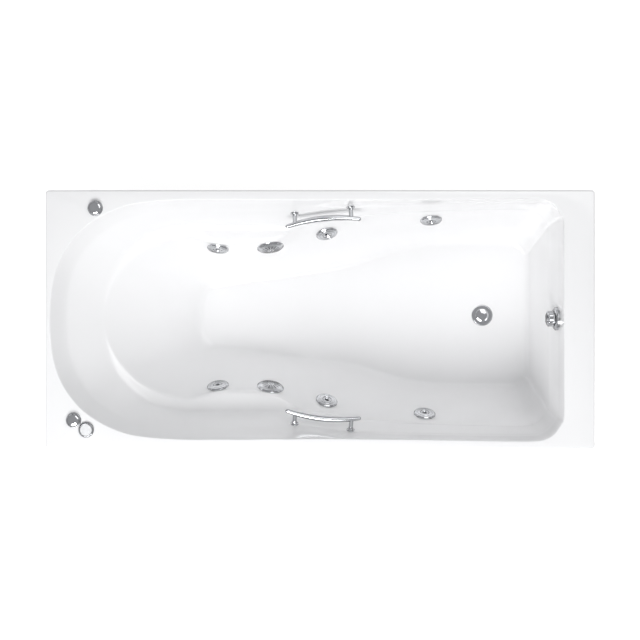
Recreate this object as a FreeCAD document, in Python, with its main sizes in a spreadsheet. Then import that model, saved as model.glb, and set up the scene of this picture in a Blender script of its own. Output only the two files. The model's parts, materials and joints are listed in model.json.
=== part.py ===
import FreeCAD, Part
import Sketcher
import math
import os

# Jetted bathtub: a vacuum-formed acrylic shell on a steel frame, with six adjustable water jets,
# two suction covers, a rotary-operated drain, two grip bars, deck controls, a pump and pipework.
# Frame: +X towards the drain end, +Y to the bather's left, +Z up, origin on the
# floor under the middle of the tub.  All sizes are in millimetres.

Vec = FreeCAD.Vector
Turn = FreeCAD.Rotation
doc = FreeCAD.newDocument("jetted_bathtub")
sheet = doc.addObject("Spreadsheet::Sheet", "Sizes")

# ---------------------------------------------------------------- driving sizes
size_rows = [
    # shell
    ("tub_length", 1700, "outside length over the rim"),
    ("tub_width", 800, "outside width over the rim"),
    ("rim_height", 580, "top of the rim above the room floor"),
    ("basin_depth", 420, "rim down to the basin floor"),
    ("shell_wall", 6, "acrylic and its backing in the deck, skirt and upper walls"),
    ("backed_wall", 8, "the same where the backing is thicker, behind the fittings"),
    ("seat_wall", 5, "what is left between a fitting's two flat seats"),
    ("skirt_drop", 40, "height of the turned-down rim"),
    ("rim_corner", 10, "plan radius of the rim's corners"),
    ("rim_round", 5, "rounding of the rim's top edge"),
    ("side_deck", 30, "flat rim beside the basin, at the waist"),
    ("foot_deck", 95, "flat rim beyond the basin at the drain end"),
    ("head_deck", 14, "flat rim behind the bather's head"),
    ("armrest_depth", 164, "rim down to the armrest"),
    ("jet_depth", 225, "rim down to the jets and suction covers"),
    ("waist", 875, "head end to the basin's waist, where its longer leg part begins"),
    # base board and frame
    ("board_thick", 16, "board bonded under the basin floor"),
    ("board_length", 1050, "board length"),
    ("board_head_width", 156, "board width at its narrow end"),
    ("board_foot_width", 420, "board width at its wide end"),
    ("board_foot_gap", 170, "board's end to the end of the tub"),
    ("board_drain_gap", 9, "hole in the board, radially around the drain flange"),
    ("tube_side", 30, "square frame tube"),
    ("tube_wall", 2, "wall of the frame tube"),
    ("rail_spread", 130, "distance between the two rails' centre lines"),
    ("frame_inset", 15, "end of a rail to the end of the tub"),
    ("cross_side_gap", 22, "end of an outer cross member to the side of the tub"),
    ("mid_cross_side_gap", 80, "end of the middle cross member to the side of the tub"),
    ("cross_inset", 30, "outer cross member's centre line to the end of the tub"),
    ("post_side", 25, "square post under the rim"),
    ("head_post_gap", 35, "centre line of a post at the head to the side of the tub"),
    ("foot_post_gap", 68, "centre line of a post at the drain end to the side of the tub"),
    ("foot_gap", 100, "middle of a levelling foot to the side of the tub"),
    ("foot_dia", 60, "levelling foot's pad"),
    ("foot_thick", 14, "levelling foot's pad height"),
    ("stud_dia", 12, "levelling foot's stud"),
    ("stud_gap", 0.1, "hole in a cross member or nut, radially around a stud or screw"),
    ("nut_thick", 8, "lock nuts of the feet"),
    ("nut_flats", 19, "lock nuts of the feet, across flats"),
    ("screw_dia", 6, "frame screws"),
    ("screw_head", 12, "frame screw heads"),
    ("screw_head_thick", 4, "frame screw heads, thickness"),
    # jets
    ("jet_head_gap", 516, "head end to the jets beside the back"),
    ("jet_mid_gap", 871, "head end to the jets beside the hip"),
    ("jet_foot_left_gap", 488, "drain end to the jet beside the calf, +Y side"),
    ("jet_foot_right_gap", 509, "drain end to the jet beside the calf, -Y side"),
    ("jet_ring_dia", 70, "jet's turning face ring"),
    ("jet_ring_rise", 9, "face ring above its seat on the wall"),
    ("jet_flange_dia", 62, "jet's wall fitting, under the ring"),
    ("jet_flange_thick", 3, "the same, thickness"),
    ("jet_barrel_dia", 46, "barrel through the wall"),
    ("jet_barrel_back", 26, "barrel behind the wall"),
    ("jet_neck_dia", 40, "ring's neck in the barrel"),
    ("jet_ball_dia", 32, "swivelling eyeball"),
    ("jet_orifice_dia", 12, "water outlet in the eyeball"),
    ("jet_body_dia", 56, "jet body behind the wall"),
    ("jet_hole_gap", 0.5, "hole in the wall, radially around a barrel"),
    ("run_gap", 0.05, "running clearance, radially"),
    ("free_gap", 0.3, "clearance between curved pieces that move past each other"),
    ("gasket_thick", 2, "rubber gaskets"),
    # suction
    ("suction_gap", 688, "head end to the suction covers"),
    ("suction_dia", 87, "suction cover"),
    ("suction_rise", 14, "suction cover's dome"),
    ("suction_flange_dia", 78, "suction fitting's flange"),
    ("suction_barrel_dia", 60, "suction fitting's barrel through the wall"),
    ("suction_barrel_back", 20, "suction fitting's barrel behind the wall"),
    ("suction_cup_dia", 72, "suction body behind the wall"),
    ("suction_cup_depth", 40, "suction body behind the wall, depth"),
    ("slot_width", 3, "slots in the suction cover"),
    ("slot_length", 18, "the same, length"),
    ("slot_middle", 20, "the same, from the cover's axis to a slot's middle"),
    ("bridge_drop", 12, "bridge for the cover's screw, below the seat"),
    # pipes
    ("main_dia", 32, "water mains"),
    ("main_wall", 2.4, "wall of the water pipes"),
    ("main_drop", 90, "water mains below the jets"),
    ("tail_reach", 62, "jet's water tail behind the wall"),
    ("tail_dia", 26, "jet's water tail"),
    ("air_dia", 20, "air hoses"),
    ("air_wall", 2.5, "wall of the air hoses"),
    ("air_drop", 59, "air hoses below the jets"),
    ("air_inset", 25, "air hose inboard of the water main"),
    ("air_tail_dia", 13, "jet's air tail"),
    ("collar_length", 44, "jet body's collar round its water main"),
    ("hose_bend", 45, "inner line of the air hoses' bends"),
    ("suction_pipe_dia", 34, "suction pipes"),
    ("suction_bend", 45, "inner line of the suction pipes' bends"),
    # pump
    ("pump_gap", 150, "head end to the pump shaft"),
    ("pump_rise", 79, "pump shaft and suction pipes above the frame's rails"),
    ("header_rise", 107, "discharge header above the pump shaft"),
    ("motor_dia", 126, "motor housing"),
    ("motor_length", 190, "motor housing length"),
    ("volute_dia", 146, "pump casing"),
    ("volute_wide", 56, "pump casing, along the shaft"),
    ("volute_y", 86, "middle of the pump casing across the tub"),
    ("shaft_dia", 14, "pump shaft"),
    ("rotor_dia", 96, "impeller"),
    ("rotor_wide", 22, "impeller, along the shaft"),
    ("box_thick", 56, "terminal box, out from the motor"),
    ("box_length", 84, "terminal box, along the motor"),
    ("box_height", 60, "terminal box, upright"),
    ("gland_bore", 9, "cable entry"),
    # drain and overflow
    ("drain_gap", 297, "drain end to the drain"),
    ("drain_flange_dia", 72, "drain flange"),
    ("drain_barrel_dia", 46, "drain's threaded barrel"),
    ("plug_dia", 46.5, "drain plug's cap"),
    ("plug_lift", 10, "how far the plug rises"),
    ("waste_dia", 40, "waste outlet of the trap"),
    ("waste_reach", 130, "drain's axis to the end of the waste outlet"),
    ("waste_collar", 45, "drain's axis to the shoulder of the waste outlet"),
    ("trap_dia", 76, "bottle trap"),
    ("trap_height", 52, "bottle trap, height"),
    ("overflow_depth", 75, "rim down to the overflow"),
    ("overflow_dia", 73, "overflow rosette"),
    ("overflow_knob_dia", 54, "rotary knob on the overflow"),
    ("overflow_knob_thick", 21, "the same, thickness"),
    ("overflow_rise", 13, "overflow rosette above its seat"),
    ("overflow_pipe_dia", 32, "overflow pipe"),
    # grips
    ("grip_head_gap", 769, "head end to the grip post nearer it"),
    ("grip_foot_gap", 946, "head end to the grip post nearer the drain"),
    ("grip_depth", 90, "rim down to the grip posts' seats"),
    ("grip_reach", 38, "grip bar off the wall"),
    ("grip_mid_dia", 19, "grip bar in the middle"),
    ("grip_end_dia", 12, "grip bar at its ends"),
    ("grip_over", 26, "grip bar beyond each post"),
    ("grip_bow", 8, "how far the bar bows towards the wall"),
    ("grip_post_dia", 13, "grip post"),
    ("grip_foot_dia", 26, "grip post's foot on the wall"),
    ("grip_foot_thick", 4, "the same, thickness"),
    ("grip_stud_dia", 8, "grip's studs through the wall"),
    ("grip_stud_long", 17, "the same, length behind the seat"),
    ("grip_nut_flats", 16, "grip's nuts, across flats"),
    ("grip_nut_thick", 6.5, "grip's nuts"),
    # deck controls
    ("air_left_gap", 154, "head end to the air control on the +Y side"),
    ("air_left_side", 55.5, "the same, to the side of the tub"),
    ("air_right_gap", 87, "head end to the air control on the -Y side"),
    ("air_right_side", 88.5, "the same, to the side of the tub"),
    ("start_gap", 126.5, "head end to the start button"),
    ("start_side", 59, "the same, to the side of the tub"),
    ("control_dia", 48, "air control and start button on the deck"),
    ("control_barrel_dia", 24, "their threaded barrels"),
    ("control_nut_dia", 34, "their nuts under the deck"),
    ("control_nut_thick", 9, "the same, thickness"),
    ("control_long", 72, "air control below the deck, down to its hose"),
    ("spindle_dia", 8, "turning spindles of the controls"),
    ("knob_dia", 40, "air control's turning cap"),
    ("button_dia", 36, "start button's push face"),
    ("button_travel", 4, "start button's travel"),
    ("switch_tube_dia", 6, "air tube of the start button"),
]


class Dim:
    """A size that knows both its number and the sheet expression it comes from."""

    def __init__(self, value, text):
        self.value = float(value)
        self.text = text

    def join(self, other, sign, value):
        return Dim(value, "(%s %s %s)" % (self.text, sign, as_dim(other).text))

    def __add__(self, other):
        return self.join(other, "+", self.value + number(other))

    def __sub__(self, other):
        return self.join(other, "-", self.value - number(other))

    def __mul__(self, other):
        return self.join(other, "*", self.value * number(other))

    def __truediv__(self, other):
        return self.join(other, "/", self.value / number(other))

    def __radd__(self, other):
        return as_dim(other) + self

    def __rsub__(self, other):
        return as_dim(other) - self

    def __rmul__(self, other):
        return as_dim(other) * self

    def __neg__(self):
        return 0 - self


def as_dim(item):
    return item if isinstance(item, Dim) else Dim(item, repr(float(item)))


def number(item):
    return item.value if isinstance(item, Dim) else float(item)


class Sizes:
    """Every driving size by its alias."""


sizes = Sizes()
for row, (alias, value, note) in enumerate(size_rows, start=1):
    sheet.set("A%d" % row, note)
    sheet.set("B%d" % row, str(value))
    sheet.setAlias("B%d" % row, alias)
doc.recompute()
for alias, value, note in size_rows:
    setattr(sizes, alias, Dim(sheet.get(alias), "Sizes." + alias))
z = sizes

parts = []


def keep(obj, label):
    """Registers an object as one of the tub's own pieces."""
    obj.Label = label
    parts.append(obj)
    return obj


def put(obj, x=0, y=0, height=0, rotation=None):
    """Places an object; each sheet size among the coordinates stays bound to its cell."""
    obj.Placement = FreeCAD.Placement(Vec(number(x), number(y), number(height)), rotation or Turn())
    for axis, item in (("x", x), ("y", y), ("z", height)):
        if isinstance(item, Dim):
            obj.setExpression("Placement.Base." + axis, item.text)
    return obj


# ---------------------------------------------------------------- sketch and feature helpers
def origin_part(body, role):
    return [item for item in body.Origin.OriginFeatures if item.Role == role][0]


def new_sketch(body, plane, name):
    sketch = body.newObject("Sketcher::SketchObject", name)
    sketch.AttachmentSupport = [(origin_part(body, plane), "")]
    sketch.MapMode = "FlatFace"
    return sketch


def arc_between(start, end, radius):
    """Circle arc from start to end; a positive radius bulges to the right of the way there."""
    chord = end - start
    half = chord.Length / 2
    size = abs(radius)
    rise = math.sqrt(max(size * size - half * half, 0))
    left = Vec(-chord.y, chord.x, 0).normalize()
    centre = (start + end) * 0.5 + left * (rise if radius > 0 else -rise)
    first, last = (start, end) if radius > 0 else (end, start)
    begin = math.atan2(first.y - centre.y, first.x - centre.x)
    finish = math.atan2(last.y - centre.y, last.x - centre.x)
    if finish < begin:
        finish += 2 * math.pi
    return Part.ArcOfCircle(Part.Circle(centre, Vec(0, 0, 1), size), begin, finish)


def fix_point(sketch, geometry, end, x, y):
    """Ties one end of an edge to a pair of sheet sizes, measured from the sketch's origin."""
    for kind, item in (("DistanceX", x), ("DistanceY", y)):
        index = sketch.addConstraint(Sketcher.Constraint(kind, -1, 1, geometry, end, number(item)))
        if isinstance(item, Dim):
            sketch.setExpression("Constraints[%d]" % index, item.text)


def draw_outline(sketch, points):
    """Closed outline of (x, y) corners; a third value is the radius of the arc that ends there."""
    count = len(points)
    first = sketch.GeometryCount
    ends = []
    for i in range(count):
        goal = points[(i + 1) % count]
        a = Vec(number(points[i][0]), number(points[i][1]), 0)
        b = Vec(number(goal[0]), number(goal[1]), 0)
        if len(goal) == 3:
            radius = goal[2]
            sketch.addGeometry(arc_between(a, b, number(radius)))
            ends.append((1, 2) if number(radius) > 0 else (2, 1))
        else:
            sketch.addGeometry(Part.LineSegment(a, b))
            ends.append((1, 2))
    for i in range(count):
        j = (i + 1) % count
        sketch.addConstraint(Sketcher.Constraint("Coincident", first + i, ends[i][1], first + j, ends[j][0]))
    for i, point in enumerate(points):
        fix_point(sketch, first + i, ends[i][0], point[0], point[1])
        if len(point) == 3:
            edge = first + (i - 1) % count
            radius = as_dim(point[2])
            if radius.value < 0:
                radius = -radius
            index = sketch.addConstraint(Sketcher.Constraint("Radius", edge, radius.value))
            sketch.setExpression("Constraints[%d]" % index, radius.text)


def draw_circle(sketch, x, y, diameter):
    centre = Vec(number(x), number(y), 0)
    index = sketch.addGeometry(Part.Circle(centre, Vec(0, 0, 1), number(diameter) / 2))
    fix_point(sketch, index, 3, x, y)
    row = sketch.addConstraint(Sketcher.Constraint("Diameter", index, number(diameter)))
    if isinstance(diameter, Dim):
        sketch.setExpression("Constraints[%d]" % row, diameter.text)


def lathe(label, outline):
    """Body of revolution about its own Z axis from (radius, height) corners."""
    body = doc.addObject("PartDesign::Body", label)
    sketch = new_sketch(body, "XZ_Plane", label + "_profile")
    draw_outline(sketch, outline)
    turn = body.newObject("PartDesign::Revolution", label + "_turned")
    turn.Profile = sketch
    turn.ReferenceAxis = (sketch, ["V_Axis"])
    turn.Angle = 360
    sketch.Visibility = False
    return body


def padded(label, outlines, depth, plane="XY_Plane", circles=()):
    """Body padded from closed outlines and circles, from its own origin plane."""
    body = doc.addObject("PartDesign::Body", label)
    sketch = new_sketch(body, plane, label + "_outline")
    for outline in outlines:
        draw_outline(sketch, outline)
    for x, y, diameter in circles:
        draw_circle(sketch, x, y, diameter)
    pad = body.newObject("PartDesign::Pad", label + "_pad")
    pad.Profile = sketch
    pad.Length = number(depth)
    if isinstance(depth, Dim):
        pad.setExpression("Length", depth.text)
    return body


def rectangle(width, height, x=0, y=0):
    """Corners of a rectangle centred on x, y."""
    return [(x - width / 2, y - height / 2), (x + width / 2, y - height / 2),
            (x + width / 2, y + height / 2), (x - width / 2, y + height / 2)]


def hexagon(flats):
    """Corners of a hexagon by its width across flats."""
    reach = as_dim(flats) / math.sqrt(3)
    return [(reach * math.cos(math.radians(60 * i)), reach * math.sin(math.radians(60 * i)))
            for i in range(6)]


def solid_feature(label, shape):
    obj = doc.addObject("Part::Feature", label)
    obj.Shape = shape
    return obj


def copies(label, template, placements):
    """One node of identical pieces: a separate solid of the template at each placement."""
    doc.recompute()
    base = template.Shape
    made = []
    for place in placements:
        piece = base.copy()
        piece.Placement = place.multiply(base.Placement)
        made.append(piece)
    return keep(solid_feature(label, Part.makeCompound(made)), label)


# ---------------------------------------------------------------- the shell's free-form basin
half_length = z.tub_length.value / 2
half_width = z.tub_width.value / 2
rim_top = z.rim_height.value
floor_top = rim_top - z.basin_depth.value
floor_under = floor_top - z.backed_wall.value
opening_half = half_width - z.side_deck.value
opening_foot = half_length - z.foot_deck.value
opening_head = half_length - z.head_deck.value
rest_depth = z.armrest_depth.value
port_depth = z.jet_depth.value

# Places along the tub where the side walls are shaped.  Those beside the bather's body lie at fixed
# distances from the head end, those of the leg part at shares of its length.
body_stations = (435, 516, 610, 685, 725, 755, 790, 833)
leg_shares = (0, 0.0873, 0.2121, 0.3939, 0.6485)
waist_x = z.waist.value - half_length
station_x = [place - half_length for place in body_stations]
station_x += [waist_x + (half_length - waist_x) * share for share in leg_shares]
head_steps = 6
corner_steps = 4

# Level lines of the basin from the rim down: depth, how far the line runs in at the head, how far
# the shoulder stations slide towards the drain end, the fullness of the round head, how far the side
# walls stand in at each station, how far the line runs in at the drain end, its corner radius there.
level_lines = [
    (0, -2, 0, 2.5, (-3, -3, -3, -2, -2, -2, -1.5, -1.5, -1.5, -2, -3, -5, -8), -2, 92),
    (0, 0, 0, 2.5, (-1, -1, -1, 0, 0, 0, 0.5, 0.5, 0.5, 0, -1, -3, -6), 0, 90),
    (9, 4, 0, 2.5, (2, 2, 2, 3, 3, 3, 3, 3.5, 3.5, 3, 2, 0, -3), 2, 88),
    (38, 18, 0, 2.46, (12, 13, 13, 14, 14, 14, 14, 13, 11, 7, 5, 3, 0), 5, 86),
    (64, 32, 0, 2.43, (24, 25, 25, 26, 26, 26, 25, 22, 17, 11, 8, 5, 2), 7, 85),
    (74, 39, 0, 2.42, (29, 30, 31, 31, 31, 31, 30, 26, 20, 13, 10, 7, 4), 8, 85),
    (93, 60, 0, 2.35, (38, 39, 39, 39, 39, 39, 37, 32, 25, 17, 13, 9, 6), 10, 84),
    (rest_depth - 18, 118, 0, 2.12, (61, 62, 63, 63, 63, 63, 62, 59, 53, 40, 31, 23, 18), 15, 82),
    (rest_depth - 4, 133, 0, 2.08, (67, 69, 70, 71, 72, 73, 72, 67, 59, 46, 35, 27, 21), 17, 81),
    (rest_depth + 2, 140, 0, 2.05, (88, 98, 99, 97, 92, 84, 76, 69, 60, 47, 36, 28, 22), 17.5, 81),
    (rest_depth + 4, 142, 0, 2, (108, 126, 128, 123, 111, 95, 79, 70, 61, 48, 37, 28, 22), 18, 81),
    (rest_depth + 16, 155, 0, 2, (114, 133, 135, 130, 118, 102, 87, 80, 70, 56, 43, 33, 26), 19, 80),
    (port_depth, 205, 15, 2.05,
     (134, 143, 144.5, 144, 135, 126, 117, 106, 95, 81, 68, 55, 44), 23, 78),
    (z.basin_depth.value - 90, 320, 50, 2.2,
     (196, 196, 193, 189, 183, 177, 170, 161, 151, 134, 112, 90, 74), 32, 70),
    (z.basin_depth.value - 20, 397, 75, 2.4,
     (242, 237, 230, 225, 220, 217, 212, 205, 199, 186, 160, 124, 112), 41, 60),
    (z.basin_depth.value, 424, 85, 2.6,
     (259, 251, 242, 237, 232, 228, 223, 217, 210, 198, 171, 136, 127), 48, 52),
    (z.basin_depth.value, 444, 85, 2.6,
     (277, 268, 258, 251, 246, 241, 236, 230, 224, 212, 184, 148, 141), 66, 40),
]
slide_shares = (1, 0.72, 0.35, 0.1) + (0,) * 9
# Where along the net's depth the surface is divided into ruled panels, inside and outside.
inside_steps = [0, 0.5, 1, 1.6, 2.5, 3.3, 4, 4.7, 5.5, 6.5, 7.3, 8, 8.6, 9.2, 9.8, 10.3, 10.8,
                11.4, 12, 12.6, 13.1, 13.6, 14]
outside_steps = [1.6, 3.3, 4.7, 5.6, 6.5, 8, 9.2, 10.2, 11.1, 12, 12.6, 13.1, 13.6]
thick_from = 9


def level_points(line):
    """Points round one level line, from the middle of the head round by +Y and back by -Y."""
    depth, head_in, slide, fullness, insets, foot_in, corner = line
    height = rim_top - depth
    places = [x + slide * share for x, share in zip(station_x, slide_shares)]
    turn_x = places[0]
    head_x = -opening_head + head_in
    foot_x = opening_foot - foot_in
    widths = [opening_half - inset for inset in insets]
    side = []
    for i in range(1, head_steps):
        angle = math.pi / 2 * i / head_steps
        side.append(Vec(turn_x - (turn_x - head_x) * math.cos(angle) ** (2 / fullness),
                        widths[0] * math.sin(angle) ** (2 / fullness), height))
    side += [Vec(x, width, height) for x, width in zip(places, widths)]
    for i in range(corner_steps + 1):
        angle = math.pi / 2 * (1 - i / corner_steps)
        side.append(Vec(foot_x - corner + corner * math.cos(angle),
                        widths[-1] - corner + corner * math.sin(angle), height))
    side.append(Vec(foot_x, (widths[-1] - corner) / 2, height))
    mirrored = [Vec(p.x, -p.y, p.z) for p in reversed(side)]
    return [Vec(head_x, 0, height)] + side + [Vec(foot_x, 0, height)] + mirrored


def closed_curve(points):
    curve = Part.BSplineCurve()
    curve.interpolate(Points=points, PeriodicFlag=True, Parameters=list(range(len(points) + 1)))
    return curve


def basin_surface():
    """Smooth surface over the level lines: exact around the tub, drawn tight down the walls."""
    curves = [closed_curve(level_points(line)) for line in level_lines]
    spans = len(curves) - 3
    surface = Part.BSplineSurface()
    surface.buildFromPolesMultsKnots(
        [curve.getPoles() for curve in curves], [4] + [1] * (spans - 1) + [4],
        curves[0].getMultiplicities(), list(range(spans + 1)), curves[0].getKnots(),
        False, True, 3, 3)
    return surface


def outside_curve(surface, step):
    """Level line on the shell's hidden side, behind the basin surface at one step."""
    thick = z.shell_wall.value if step < thick_from else z.backed_wall.value
    points = []
    for i in range(len(level_points(level_lines[0]))):
        normal = surface.normal(step, i)
        point = surface.value(step, i)
        if normal.dot(Vec(point.x, point.y, 0)) < 0:
            normal = -normal
        points.append(point + normal * thick)
    return closed_curve(points)


def rim_start_curve(surface):
    """Where the hidden side leaves the flat underside of the deck."""
    lip = 0.65 * z.shell_wall.value
    points = []
    for i in range(len(level_points(level_lines[0]))):
        normal = surface.normal(1.6, i)
        point = surface.value(0, i)
        flat = Vec(normal.x, normal.y, 0).normalize()
        if flat.dot(Vec(point.x, point.y, 0)) < 0:
            flat = -flat
        points.append(Vec(point.x, point.y, rim_top - z.shell_wall.value) + flat * lip)
    return closed_curve(points)


def floor_end_curve():
    """Where the hidden side meets the flat underside of the basin floor."""
    last = level_points(level_lines[-1])
    return closed_curve([Vec(p.x, p.y, floor_under) for p in last])


def split_edges(curve):
    """The level line as edges that end at the head's middle, the shoulders and the corners."""
    total = len(level_points(level_lines[0]))
    marks = [0, head_steps, head_steps + 6, head_steps + 12]
    marks = marks + [total // 2] + [total - mark for mark in reversed(marks)]
    return [curve.toShape(a, b) for a, b in zip(marks[:-1], marks[1:])]


def ruled_panels(curves):
    rings = [split_edges(curve) for curve in curves]
    return [Part.makeRuledSurface(a, b)
            for ring, below in zip(rings[:-1], rings[1:]) for a, b in zip(ring, below)]


def rounded_block(length, width, bottom, top, corner):
    block = Part.makeBox(length, width, top - bottom, Vec(-length / 2, -width / 2, bottom))
    upright = [edge for edge in block.Edges if edge.BoundBox.ZLength > (top - bottom) / 2]
    return block.makeFillet(corner, upright)


def flat_face_at(shape, height, up):
    for face in shape.Faces:
        box = face.BoundBox
        if box.ZLength < 1e-6 and abs(box.ZMin - height) < 1e-6 and face.normalAt(0, 0).z * up > 0:
            return face


def rim_faces(inner_edges, outer_edges):
    """Deck, rounded edge and skirt, with the basin's opening in the deck's two flat faces."""
    wall = z.shell_wall.value
    bottom = rim_top - z.skirt_drop.value
    under = rim_top - wall
    length, width = 2 * half_length, 2 * half_width
    outer = rounded_block(length, width, bottom, rim_top, z.rim_corner.value)
    top_edges = [edge for edge in outer.Edges
                 if edge.BoundBox.ZLength < 1e-6 and abs(edge.BoundBox.ZMin - rim_top) < 1e-6]
    outer = outer.makeFillet(z.rim_round.value, top_edges)
    inner_corner = max(z.rim_corner.value - wall, 1)
    hollow = rounded_block(length - 2 * wall, width - 2 * wall, bottom, under, inner_corner)
    rim = outer.cut(hollow)
    top = flat_face_at(rim, rim_top, 1)
    below = flat_face_at(rim, under, -1)
    others = [face for face in rim.Faces if not face.isSame(top) and not face.isSame(below)]
    deck_top = Part.Face([top.OuterWire, Part.Wire(inner_edges)])
    deck_below = Part.Face([below.OuterWire, Part.Wire(outer_edges)])
    return others + [deck_top, deck_below]


basin = basin_surface()
inside_curves = [basin.uIso(step) for step in inside_steps]
outside_curves = ([rim_start_curve(basin)] + [outside_curve(basin, step) for step in outside_steps]
                  + [floor_end_curve()])
inside_panels = ruled_panels(inside_curves)
basin_skin = Part.makeCompound(inside_panels)


def blank_shell():
    """The formed shell before its holes are cut: one closed solid sewn from its faces."""
    faces = inside_panels + ruled_panels(outside_curves)
    faces += rim_faces(split_edges(inside_curves[0]), split_edges(outside_curves[0]))
    faces.append(Part.Face(Part.Wire(split_edges(inside_curves[-1]))))
    faces.append(Part.Face(Part.Wire(split_edges(outside_curves[-1]))))
    shell = Part.makeShell(faces)
    shell.sewShape()
    solid = Part.makeSolid(shell)
    if solid.Volume < 0:
        solid.reverse()
    return solid


# ---------------------------------------------------------------- seats on the basin's walls
def wall_point(x, depth, side):
    """Point of the side wall at a place along the tub and a depth; side is +1 for +Y."""
    height = rim_top - depth
    ray = Part.LineSegment(Vec(x, 0, height), Vec(x, side * half_width, height)).toShape()
    return ray.distToShape(basin_skin)[1][0][0]


def end_point(y, depth):
    """Point of the drain end's wall."""
    height = rim_top - depth
    ray = Part.LineSegment(Vec(0, y, height), Vec(half_length, y, height)).toShape()
    return ray.distToShape(basin_skin)[1][0][0]


class Seat:
    """A flat seat on a curved wall: centre, inward direction and local axes."""

    def __init__(self, sample, radius, lead):
        centre = sample(0, 0)
        east, west = sample(radius, 0), sample(-radius, 0)
        down, up = sample(0, radius), sample(0, -radius)
        inward = (east - west).cross(up - down).normalize()
        if inward.dot(Vec(0, 0, rim_top) - centre) < 0:
            inward = -inward
        rim = [sample(radius * math.cos(math.pi * i / 4), radius * math.sin(math.pi * i / 4))
               for i in range(8)]
        sink = max([(centre - point).dot(inward) for point in rim] + [0]) + 0.2
        self.inward = inward
        self.centre = centre - inward * sink
        across = (lead - inward * lead.dot(inward)).normalize()
        self.rotation = Turn(across, inward.cross(across), inward, "ZXY")
        self.placement = FreeCAD.Placement(self.centre, self.rotation)

    def at(self, height):
        return self.centre + self.inward * height

    def cylinder(self, diameter, low, high):
        return Part.makeCylinder(diameter / 2, high - low, self.at(low), self.inward)


def side_seat(x, depth, side, diameter):
    return Seat(lambda dx, dz: wall_point(x + dx, depth + dz, side), diameter / 2, Vec(1, 0, 0))


jet_head_x = z.jet_head_gap.value - half_length
jet_mid_x = z.jet_mid_gap.value - half_length
jet_foot_x = {1: half_length - z.jet_foot_left_gap.value, -1: half_length - z.jet_foot_right_gap.value}
jet_places = [(x, side) for side in (1, -1) for x in (jet_head_x, jet_mid_x, jet_foot_x[side])]
jet_seats = [side_seat(x, port_depth, side, z.jet_ring_dia.value) for x, side in jet_places]
suction_seats = [side_seat(z.suction_gap.value - half_length, port_depth, side, z.suction_dia.value)
                 for side in (1, -1)]
grip_seats = [[side_seat(gap.value - half_length, z.grip_depth.value, side, z.grip_foot_dia.value)
               for gap in (z.grip_head_gap, z.grip_foot_gap)] for side in (1, -1)]
overflow_seat = Seat(lambda dy, dz: end_point(dy, z.overflow_depth.value + dz),
                     z.overflow_dia.value / 2, Vec(0, 1, 0))


def deck_place(gap, side_gap, side):
    """Point of the deck by its distances to the head end and to the side of the tub."""
    return Vec(gap.value - half_length, side * (half_width - side_gap.value), rim_top)


control_places = [deck_place(z.air_left_gap, z.air_left_side, 1),
                  deck_place(z.air_right_gap, z.air_right_side, -1)]
start_place = deck_place(z.start_gap, z.start_side, -1)
drain_x = z.tub_length / 2 - z.drain_gap
drain_place = Vec(drain_x.value, 0, floor_top)


def seat_cuts(seat, front, back, hole):
    """Flat seats on both sides of the wall and the hole between them."""
    wall = z.seat_wall.value
    return [seat.cylinder(front + 3, 0, 24), seat.cylinder(back + 3, -wall - 30, -wall),
            seat.cylinder(hole, -wall - 1, 1)]


tools = []
gap2 = 2 * z.jet_hole_gap.value
for seat in jet_seats:
    tools += seat_cuts(seat, z.jet_ring_dia.value, z.jet_body_dia.value,
                       z.jet_barrel_dia.value + gap2)
for seat in suction_seats:
    tools += seat_cuts(seat, z.suction_dia.value, z.suction_cup_dia.value,
                       z.suction_barrel_dia.value + gap2)
for pair in grip_seats:
    for seat in pair:
        tools += seat_cuts(seat, z.grip_foot_dia.value, z.grip_foot_dia.value,
                           z.grip_stud_dia.value + gap2)
tools += seat_cuts(overflow_seat, z.overflow_dia.value, z.drain_flange_dia.value,
                   z.drain_barrel_dia.value + gap2)
for place in control_places + [start_place]:
    tools.append(Part.makeCylinder((z.control_barrel_dia.value + gap2) / 2, 40, place - Vec(0, 0, 20)))
tools.append(Part.makeCylinder((z.drain_barrel_dia.value + gap2) / 2, 60, drain_place - Vec(0, 0, 30)))
shell_solid = blank_shell()
keep(solid_feature("tub_shell", shell_solid.cut(tools)), "tub_shell")

# ---------------------------------------------------------------- base board and steel frame
board_top = as_dim(z.rim_height - z.basin_depth - z.backed_wall)
board_low = board_top - z.board_thick
rail_low = board_low - z.tube_side
cross_low = rail_low - z.tube_side
board_end = z.tub_length / 2 - z.board_foot_gap
screw_x = [board_end - share * z.board_length for share in (0.9, 0.55, 0.1)]

board_start = board_end - z.board_length
board_knee = board_end - z.board_length / 3
screw_hole = z.screw_dia + 2 * z.stud_gap
board = padded("base_board", [[
    (board_start, -z.board_head_width / 2), (board_knee, -z.board_foot_width / 2),
    (board_end, -z.board_foot_width / 2), (board_end, z.board_foot_width / 2),
    (board_knee, z.board_foot_width / 2), (board_start, z.board_head_width / 2)]],
    z.board_thick, circles=[(drain_x, 0, z.drain_flange_dia + 2 * z.board_drain_gap)] + [
        (x, z.rail_spread / 2 * side, screw_hole) for x in screw_x for side in (1, -1)])
keep(put(board, height=board_low), "base_board")


def square_tube(label, side, length, plane):
    """Welded square tube along the normal of its plane, centred on its own origin."""
    inside = side - 2 * z.tube_wall
    tube = padded(label, [rectangle(side, side), rectangle(inside, inside)], length, plane)
    pad = tube.Group[-1]
    pad.Midplane = True
    return tube


def drill(body, circles, depth):
    """Round holes through the body, half of their depth each way from its XY plane."""
    sketch = new_sketch(body, "XY_Plane", body.Name + "_holes")
    for x, y, diameter in circles:
        draw_circle(sketch, x, y, diameter)
    pocket = body.newObject("PartDesign::Pocket", body.Name + "_drilled")
    pocket.Profile = sketch
    pocket.Length = number(depth)
    pocket.Midplane = True
    if isinstance(depth, Dim):
        pocket.setExpression("Length", depth.text)
    return pocket


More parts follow.
